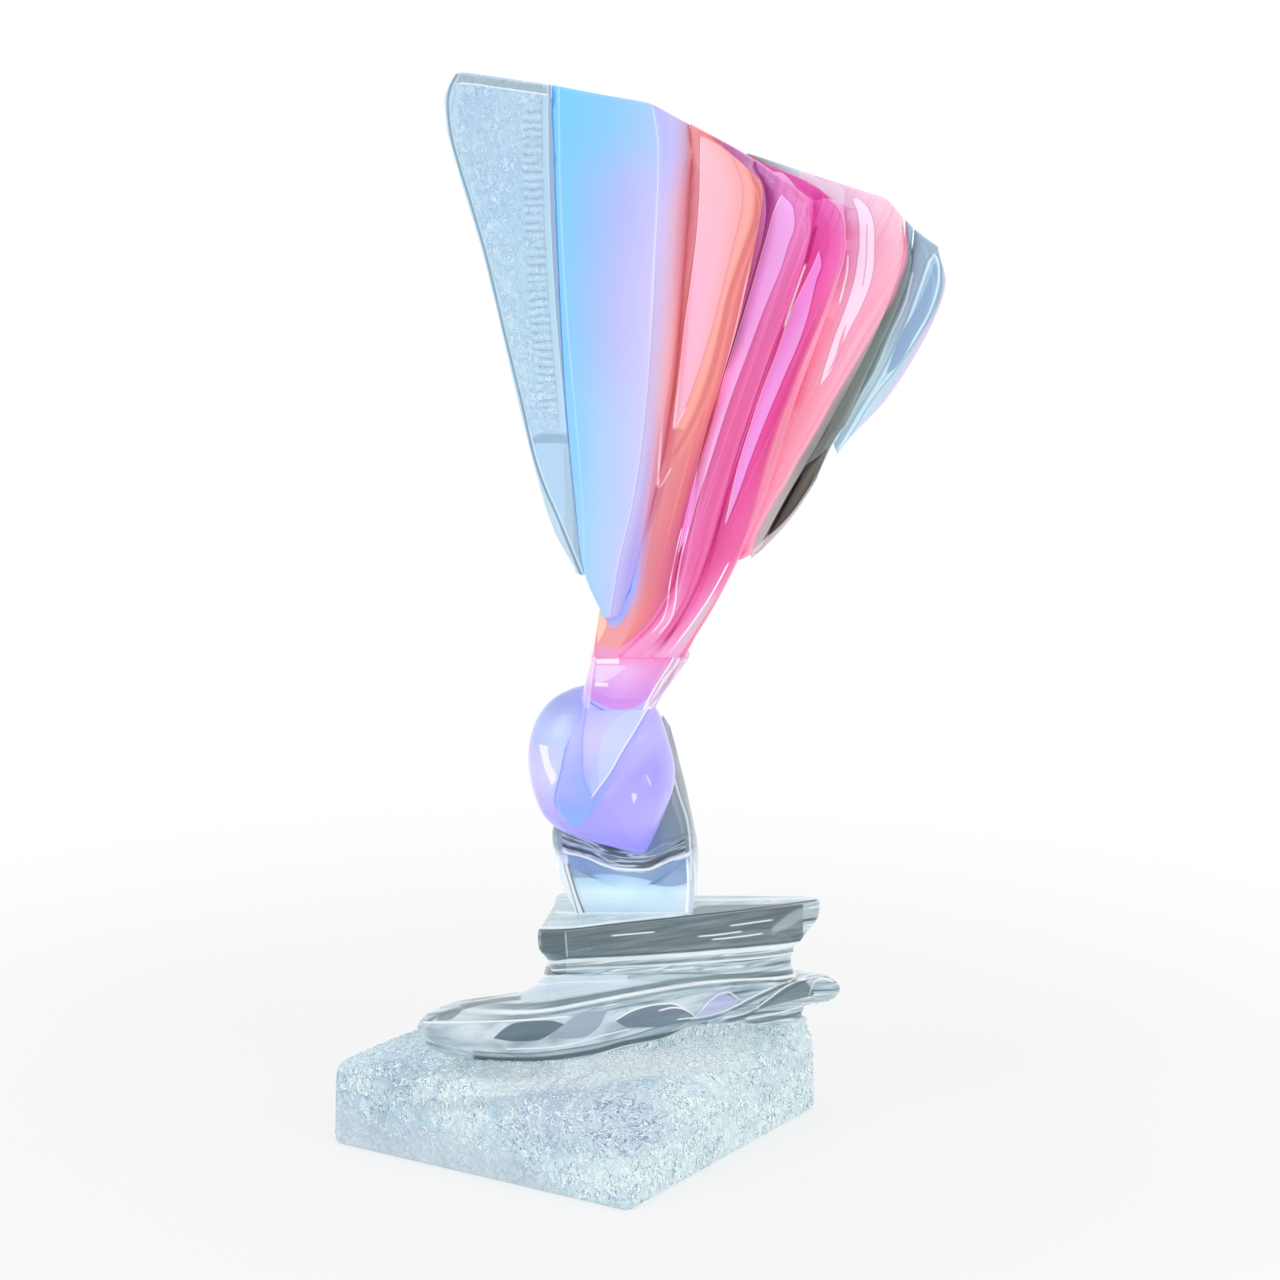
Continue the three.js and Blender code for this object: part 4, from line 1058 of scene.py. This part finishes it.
WAIST_HIGH = [(-40, 36), (-13.8, 41.4), (26.6, 42.8), (57.3, 44.3), (116.4, 49.1), (135, 51)]
COVE_LINE = [
    (-67.1, 17.3), (-48.6, 16.3), (-24, 17.1), (4.3, 21.6), (36.8, 27.4), (57.3, 30.9), (87.4, 34.2),
    (126.7, 35),
]
# Line of the painted shadow under the lip
LIP_SHADOW_LINE = [
    (-58.8, -10.4), (-44.6, -11.4), (-28.1, -11.4), (-3.7, -9.4), (12.2, -7), (26.5, -3.4), (47.2, -0.2),
    (57.6, 1.7), (75, 6),
]
ICY_TOP = [
    (-92, -9), (-58.7, -12.8), (-32, -13.2), (-3.7, -11.4), (26.5, -6), (48.9, -0.6), (69.8, 6.6),
    (95.1, 6.4), (116.4, 0), (137, -4),
]

# Stops of the clear tiers' streaks: painted refractions and reflections, dark and light
REFRACTION_STOPS = [
    (0.3, 92, 112, 122), (0.38, 122, 144, 154), (0.44, 168, 188, 198), (0.5, 198, 216, 224),
    (0.55, 150, 170, 180), (0.59, 240, 247, 249), (0.64, 186, 204, 212), (0.74, 118, 138, 148),
]
STREAK_LENGTH = 70
# Painted shade and painted glints of the icy relief, as `strokes` draws them
ICE_SHADE = (130, 160, 180)
ICE_GLINT = (250, 255, 255)


def refraction_streaks(f, flow, fine):
    """Painted refractions and reflections as streaks that run level through a tier, `flow` counted
    from the line they follow.
    """
    place = f.vector(f.across / STREAK_LENGTH, 0, flow / fine)
    return f.noise(place, 1, distortion=0.15)


def finish_upper_tier():
    f = Finish("upper_tier", TIER_JOINT, LEAN)
    over = f.rise - f.level(SLAB_EDGE)
    # The streaks, the dark face and the light and dark sheets and seams below are painted refractions,
    # reflections and shade in the clear tier
    f.colour = f.ramp(refraction_streaks(f, over, 4), *REFRACTION_STOPS)
    mottle = f.noise(f.stretched(36, 36, 2.4, 3), 1, detail=4)
    face = f.ramp(
        mottle, (0.35, 96, 112, 118), (0.5, 112, 128, 134), (0.62, 124, 140, 146), (0.75, 140, 156, 162)
    )
    f.paint(f.step(over, -0.4, 0.4) * 0.6, (214, 232, 238))
    f.paint(f.sheet(SLAB_LOW, SLAB_EDGE, 0.8), face)
    pale_low = [(112, 14), (121, 18), (134, 25)]
    pale_high = [(112, 18), (124, 27), (134, 30)]
    f.paint(f.sheet(pale_low, pale_high, 3) * 0.7, (176, 190, 192))
    f.paint(f.step(-6 - f.across, -0.4, 0.4) * f.step(19 - f.rise, -0.5, 0.5) * 0.5, (84, 102, 106))
    f.paint(f.thread([(-1, -5.2), (8, -5.7), (18, -6.3)], 0.9) * 0.7, (204, 216, 218))
    wedge_low = [(60, 25.4), (98.3, 28.8), (138, 33)]
    wedge_high = [(60, 25.8), (71, 30.8), (125.7, 31.8), (138, 33.4)]
    f.paint(f.sheet(wedge_low, wedge_high, 0.8) * 0.9, (106, 126, 132))
    f.paint(f.seam(SLAB_EDGE, 1, 0.6), (74, 90, 94))
    f.paint(f.seam(SLAB_EDGE[:4], 0.9, 2), (244, 249, 249))
    f.paint(f.seam([(-12, 28), (10, 27.6), (40, 27.4), (66, 27.2)], 1.2), (244, 249, 250))
    f.paint(f.seam([(60, 33.6), (100, 33.8), (138, 34.4)], 1.4), (238, 247, 249))
    for line in (
        [(69.5, 13.7), (82.1, 14.6), (94.3, 16)],
        [(77.5, 11.7), (94.2, 13.1), (106.4, 14.6)],
        [(20, 15.4), (44, 17)],
        [(88, 19.6), (112, 22.4)],
    ):
        f.paint(f.seam(line, 0.9), (240, 246, 246))
    f.paint(f.seam(SLAB_LOW, 1.6, -0.3) * 0.8, (72, 88, 92))
    f.paint(f.seam(SLAB_WAIST, 2.4), (244, 249, 249))
    f.paint(f.seam(SLAB_WAIST, 1.4, -3.4) * 0.7, (130, 148, 156))
    f.paint(f.seam(SLAB_WAIST, 1.2, -5), (236, 244, 246))
    return f.shaded(clearness=0.25, roughness=0.04)


def finish_wave_tier():
    f = Finish("wave_tier", PLINTH_HEIGHT, LEAN)
    lip_top = f.level(LIP_TOP)
    flow = (f.rise - lip_top) / (f.level(WAIST_LOW) - lip_top)
    # The streaks and the light and dark sheets, patches, seams and lines down to the icy skirt are painted
    # refractions, reflections and shade in the clear tier
    f.colour = f.ramp(refraction_streaks(f, flow, 0.2), *REFRACTION_STOPS)
    f.paint(f.band(f.across, -50, 75, 20) * f.step(flow, 0.1, 0.35) * 0.45, (228, 241, 245))
    patch_low = [(-32.3, 23.4), (-16.1, 24.4), (8.3, 27.5), (36.8, 31.4), (57.3, 34.3)]
    patch_high = [(-32.3, 23.8), (-23.8, 29.7), (-8.1, 36.4), (28.8, 34.8), (57.3, 34.7)]
    f.paint(f.sheet(patch_low, patch_high, 1) * 0.85, (210, 220, 240))
    f.paint(f.seam([(-24, 30), (-8, 33.5), (20, 34), (30, 34.6)], 1), (250, 252, 253))
    lens_low = [(28.8, 35.1), (47, 33.7), (77.2, 38.4), (116.4, 42.1)]
    lens_high = [(28.8, 37.4), (47.1, 40.2), (77.2, 41.8), (116.4, 43.8)]
    f.paint(f.sheet(lens_low, lens_high, 0.8) * 0.9, (88, 102, 112))
    f.paint(f.sheet(WAIST_LOW, WAIST_HIGH, 0.8) * 0.9, (92, 106, 114))
    f.paint(f.seam(WAIST_LOW, 6, -5) * 0.5, (214, 232, 240))
    f.paint(f.seam(WAIST_LOW, 1.2, -0.8), (236, 244, 248))
    f.paint(f.seam(COVE_LINE, 3, 2.6) * 0.8, (96, 116, 124))
    f.paint(f.seam(COVE_LINE, 4, 7) * 0.5, (222, 238, 243))
    f.paint(f.seam(COVE_LINE, 1.6), (248, 251, 251))
    f.paint(f.seam(COVE_LINE, 1.6, -2.2) * 0.7, (116, 136, 146))
    wing = [(-86, 9.6), (-79.6, 13), (-65.3, 17.6), (-51.1, 21), (-32.2, 23.2)]
    f.paint(f.sheet(LIP_TOP, wing, 0.8) * (1 - f.step(f.across, -62, -34)) * 0.8, (216, 227, 230))
    f.paint(f.seam(wing, 2) * 0.8, (98, 118, 124))
    spot_low = [(-80.1, 10.9), (-71.9, 11.8), (-65.9, 16)]
    spot_high = [(-80.1, 11.2), (-75.1, 15.6), (-65.9, 16.9)]
    f.paint(f.sheet(spot_low, spot_high, 0.6) * 0.8, (102, 120, 128))

    front = f.sheet(LIP_LOW, LIP_TOP, 0.8)
    cloud = f.noise(f.stretched(26, 26, 9, 12), 1, distortion=0.6)
    f.paint(front * (1 - f.step(f.across, 60, 90)) * 0.85, f.ramp(
        cloud, (0.35, 166, 180, 192), (0.48, 198, 211, 219), (0.6, 222, 232, 237),
    ))
    patches = [
        (
            (80, 102, 116),
            [(-47, 2), (-34.2, 0.2), (-22.4, 0.8), (-16.1, 3.8), (-7, 10)],
            [(-47, 2.6), (-40.4, 8.4), (-34.2, 11.2), (-16.1, 12.4), (-7, 10.4)],
        ),
        (
            (160, 172, 190),
            [(-16.1, 1.9), (0.3, 1.4), (12.2, 7.9), (17, 17)],
            [(-16.1, 3), (-5.9, 11.2), (4.3, 17.2), (17, 17.5)],
        ),
        (
            (104, 120, 138),
            [(22, 11.5), (28.7, 7), (36.8, 6.6), (57.5, 6), (67.7, 12.5)],
            [(22, 12), (32.7, 17.2), (53.3, 20.3), (60, 18), (67.7, 13)],
        ),
        (
            (192, 194, 232),
            [(67, 11), (69.7, 7.7), (82.4, 13.1), (92, 20)],
            [(67, 11.5), (73.3, 22.6), (82.1, 26.3), (92, 21)],
        ),
        (
            (112, 130, 138),
            [(104.7, 15), (117, 18), (137, 22)],
            [(104.7, 19.6), (117.2, 25.9), (130.2, 31), (137, 24)],
        ),
    ]
    for colour, low, high in patches:
        f.paint(f.sheet(low, high, 0.8) * 0.92, colour)
    lights = [
        [(-88, 9.4), (-60, 11), (-30, 12.6), (-4, 14.6)],
        [(22, 12), (32.7, 17.6), (53.3, 20.8), (62, 18)],
        [(46.9, 17), (55, 18.5), (65.3, 14.6), (69, 9.5)],
        [(69.4, 14.3), (75.6, 21.5), (86.1, 26.2), (93, 22)],
        [(57.5, 10.8), (77.9, 12.6), (98.2, 22), (117.2, 30), (127, 34)],
        [(84, 9.6), (97.5, 12), (108.9, 20.6), (123.7, 29.6), (133, 33)],
        [(97.5, 8.2), (116.5, 10.4), (131.1, 14)],
        [(-40, -4.6), (-10, -3), (14, 2.4), (30, 6)],
        [(134, 22), (137, 29), (141, 31.6), (149, 29)],
    ]
    for line in lights:
        f.paint(f.seam(line, 1), (246, 250, 251))
    shadows = [
        [(57.5, 8.6), (77.9, 10.4), (98.2, 20), (117.2, 28.2), (127, 33)],
        [(86, 7), (97.5, 9.6), (108.9, 18), (123.7, 27.4), (133, 31)],
        [(97.5, 5.6), (116.5, 7), (131.1, 10)],
    ]
    for line in shadows:
        f.paint(f.seam(line, 2) * 0.8, (94, 112, 124))
    # Painted shadow under the lip: darker below it and darkest along its line and the lip's lower edge
    f.paint(f.sheet(LIP_SHADOW_LINE, LIP_LOW, 0.8) * 0.6, (166, 182, 192))
    f.paint(f.seam(LIP_SHADOW_LINE, 3, 0.6), (84, 104, 112))
    f.paint(f.seam(LIP_LOW[2:7], 1, 0.4) * 0.8, (110, 128, 138))

    icy_part = 1 - f.step(f.rise - f.level(ICY_TOP), -1, 0.6)
    f.paint(icy_part, (208, 224, 228))
    # Painted shade and glints of the icy skirt's relief
    relief = f.strokes(f.stretched(1.7, 4, 5, -14), icy_part, ICE_SHADE, ICE_GLINT)
    return f.shaded(clearness=0.25, roughness=0.05, bump=relief * icy_part, bump_depth=1.2)


def finish_plinth():
    f = Finish("plinth", lean=LEAN)
    broad = f.noise(f.stretched(40, 40, 26), 1, detail=3)
    f.colour = f.ramp(broad, (0.38, 174, 202, 222), (0.5, 203, 230, 241), (0.62, 226, 246, 250))
    right = f.past([(-30, 24), (10, 30), (40, 44)], 0, 12)
    f.paint(right * 0.7, (228, 247, 246))
    tint = f.noise(f.stretched(26, 26, 16), 1.3)
    f.paint(f.step(tint, 0.52, 0.64) * 0.4, (196, 206, 236))
    top_low = [(-70, 24), (-20, 31), (30, 36), (100, 39)]
    top_high = [(-70, 44), (-20, 47), (30, 53), (100, 58)]
    side_band = f.sheet(top_low, top_high, 5) * f.step(f.across, -70, -20)
    trace_low = [(-90, 14), (-20, 24), (30, 31)]
    trace_high = [(-90, 22), (-20, 30), (90, 36)]
    f.paint(f.sheet(trace_low, trace_high, 3) * 0.5, (176, 194, 208))
    f.paint(side_band * 0.9, (232, 247, 250))
    # Painted shadow along the plinth's upper left edge
    shadow_low = [(-84, 38), (-60, 36), (-40, 35), (-8, 38)]
    shadow_high = [(-84, 40), (-60, 47), (-40, 49), (-8, 42)]
    f.paint(f.sheet(shadow_low, shadow_high, 5) * 0.6, (146, 166, 176))
    calm_top = [(-142, 22), (-118, 8), (-90, 2), (-60, -1), (0, -26)]
    calm = f.sheet([(-142, -40), (0, -40)], calm_top, 22)
    f.paint(calm * 0.7, (204, 216, 226))
    # Painted shading of a dimple in the plinth's front, with arcs and rays of painted light and shade round
    # it
    dx, dy = f.across - DIMPLE[0], (f.rise - DIMPLE[1]) * 1.6
    away = (dx * dx + dy * dy) ** 0.5
    near = 1 - f.step(away, 14, 34)
    f.paint(near * 0.7, (190, 206, 230))
    arcs = f.noise(f.vector(away / 5, 0, f.across / 60), 1)
    left = f.band(away, 26, 58, 14) * (1 - f.step(dx, -24, 4)) * f.step(dy, -34, -10)
    f.paint(left * f.step(arcs, 0.5, 0.6) * 0.6, (184, 194, 228))
    f.paint(left * (1 - f.step(arcs, 0.36, 0.44)) * 0.5, (240, 250, 254))
    patchy = f.step(f.noise(f.stretched(12, 12, 9), 1), 0.4, 0.55)
    rough = (0.35 + 0.65 * patchy) * (1 - calm * 0.8)
    icy_part = rough * (1 - side_band) * (1 - near)
    # Painted shade and glints of the icy relief and of the frosted band
    relief = f.strokes(f.stretched(3, 3, 5, 24), icy_part, ICE_SHADE, ICE_GLINT)
    f.strokes(f.stretched(2.2, 2.2, 10, -8), side_band, (166, 190, 200), (255, 255, 255))
    rays = f.vector(dy.math("ARCTAN2", dy, dx) * 3.4, away / 5, 0)
    f.strokes(rays, near, (122, 142, 176), (244, 251, 255))
    return f.shaded(clearness=0.15, roughness=0.1, bump=relief, bump_depth=3)


# Shapes

def between(value, low, high, soft):
    """1 between `low` and `high`, with edges `soft` wide."""
    return max(0, min(1, (value - low) / soft + 0.5, (high - value) / soft + 0.5))


def along(line, value):
    """The line's other coordinate at `value`, straight between its points."""
    for (a, b), (c, d) in zip(line, line[1:]):
        if value <= c:
            return b + (d - b) * max(0, value - a) / (c - a)
    return line[-1][1]


def ice(place):
    """Cracked relief of 0 to 1, in cells about one unit of `place` wide."""
    nearest, second, *_ = noise.voronoi(place)[0]
    crack = min(1, (second - nearest) * 2.2)
    return 0.65 * crack + 0.35 * (0.5 + 0.5 * noise.noise(place * 2.1))


def reshape(piece, pattern, kind, **settings):
    """Applies a modifier as far as `pattern` says for each place and normal, 0 to 1."""
    group = piece.vertex_groups.new(name="share")
    for vertex in piece.data.vertices:
        weight = pattern(TURNED @ vertex.co / MM, TURNED @ vertex.normal)
        if weight > 0:
            group.add([vertex.index], weight, "REPLACE")
    apply(piece, kind, vertex_group="share", **settings)
    piece.vertex_groups.clear()


def emboss(piece, depth, pattern):
    """Raises the surface by up to `depth` millimetres."""
    reshape(piece, pattern, "DISPLACE", strength=depth * MM, mid_level=0)


def soften(piece, iterations, pattern):
    """Rounds the piece where `pattern` says."""
    reshape(piece, pattern, "SMOOTH", iterations=iterations, factor=0.5)


# Where the rounding of the fan's rim begins: (place across, height over the fan's foot)
RIM = [
    (-80, 306), (-10, 302), (43, 292), (64, 278), (88, 262), (103, 248), (124, 240), (141, 235), (151, 222),
    (176, 226), (190, 212), (206, 198),
]


def near_rim(place, normal):
    across, _, height = place
    rise = height - NECK_TOP
    tip_foot = between(rise, 80, 116, 10) * between(across, 140, 200, 6)
    return max(0, tip_foot, min(1, (rise - along(RIM, across)) / 6))


def panel_corner(place, normal):
    across, _, height = place
    return between(height - NECK_TOP, 296, 400, 12) * between(across, -200, -52, 12)


def panel_relief(place, normal):
    if normal.y > -0.6:
        return 0
    across, _, height = place
    rise = height - NECK_TOP
    margin = across - along(BLUE_START, rise)
    pebbles = between(margin, -70, -7, 3) * between(rise, 70, 304, 6)
    if pebbles == 0:
        return 0
    ladder = between(margin, -19, -7.5, 3)
    wobble = noise.noise(Vector((across / 9, rise / 9, 0)))
    rung = 0.3 + 0.3 * math.sin(2 * math.pi * (rise / RUNG_PITCH + 0.4 * wobble))
    pebble = 0.5 + 0.7 * noise.noise(Vector((across / 2.6, rise / 3.2, 5)))
    return pebbles * max(0, min(1, ladder * rung + (1 - ladder) * pebble))


def plinth_relief(place, normal):
    across, depth, height = place
    if height < 2:
        return 0
    stretch = Vector((across / 3.2, depth / 3.2, height / 2.4))
    return ice(stretch) * between(height, 1, 99, 4)


# Top of the icy skirt of the wave tier: (place across, height)
SKIRT = [(-90, 60), (0, 60), (40, 61), (70, 66), (100, 74), (140, 72)]


def wave_relief(place, normal):
    across, depth, height = place
    skirt = along(SKIRT, across)
    if depth > 30 or height > skirt + 3:
        return 0
    return ice(Vector((across / 3, depth / 3, height / 3))) * between(height, 0, skirt, 5)


# Assembly

ROUGH_ANGLE = 60      # degrees up to which a rough piece is shaded smooth


def add(node, piece, material, smooth_to=40):
    """Puts a piece in the place of its CAD node, shaded smooth over bends of up to `smooth_to` degrees."""
    only(piece)
    bpy.ops.object.shade_smooth_by_angle(angle=math.radians(smooth_to))
    piece.data.materials.append(material)
    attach(piece, "root")
    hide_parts(node)


plinth = remeshed("plinth", voxel=1.3, smoothing=3)
emboss(plinth, depth=1.1, pattern=plinth_relief)
add("plinth", plinth, finish_plinth(), ROUGH_ANGLE)

wave_tier = smoothed("wave_tier", levels=3, swell=0, sharpness=75)
emboss(wave_tier, depth=1.1, pattern=wave_relief)
add("wave_tier", wave_tier, finish_wave_tier(), ROUGH_ANGLE)

panel = remeshed("clear_panel", voxel=1.1, smoothing=2)
soften(panel, iterations=40, pattern=panel_corner)
emboss(panel, depth=0.8, pattern=panel_relief)
add("clear_panel", panel, finish_panel(), ROUGH_ANGLE)

pedestal = copy_of("pedestal")
apply(pedestal, "BEVEL", limit_method="ANGLE", angle_limit=math.radians(35), width=1 * MM, segments=3)
add("pedestal", pedestal, finish_pedestal())

for node, swell, finish in (
    ("upper_tier", 0, finish_upper_tier),
    ("bulb", POCKET_FILL, finish_bulb),
    ("tongue", POCKET_FILL, finish_tongue),
    ("neck", JOINT_FILL, finish_neck),
):
    add(node, smoothed(node, levels=2, swell=swell), finish())

BLUE, CORAL, LILAC, MAGENTA, PINK, SMOKE, TIP = range(len(ZONES))
for node, first, last, clearness in (
    ("blue_pleat", BLUE, CORAL, 0.05),
    ("coral_pleat", CORAL, LILAC, 0.05),
    ("lilac_pleat", CORAL, MAGENTA, 0.05),
    ("magenta_pleat", LILAC, PINK, 0.05),
    ("pink_pleat", MAGENTA, SMOKE, 0.05),
    ("smoke_pleat", PINK, TIP, 0.1),
    ("clear_tip", SMOKE, TIP, 0.15),
):
    outer = last >= SMOKE
    pleat = smoothed(node, levels=2, sharpness=85 if outer else 50)
    soften(pleat, iterations=60 if outer else 12, pattern=near_rim)
    add(node, pleat, finish_pleat(node, first, last, clearness, node == "pink_pleat"))
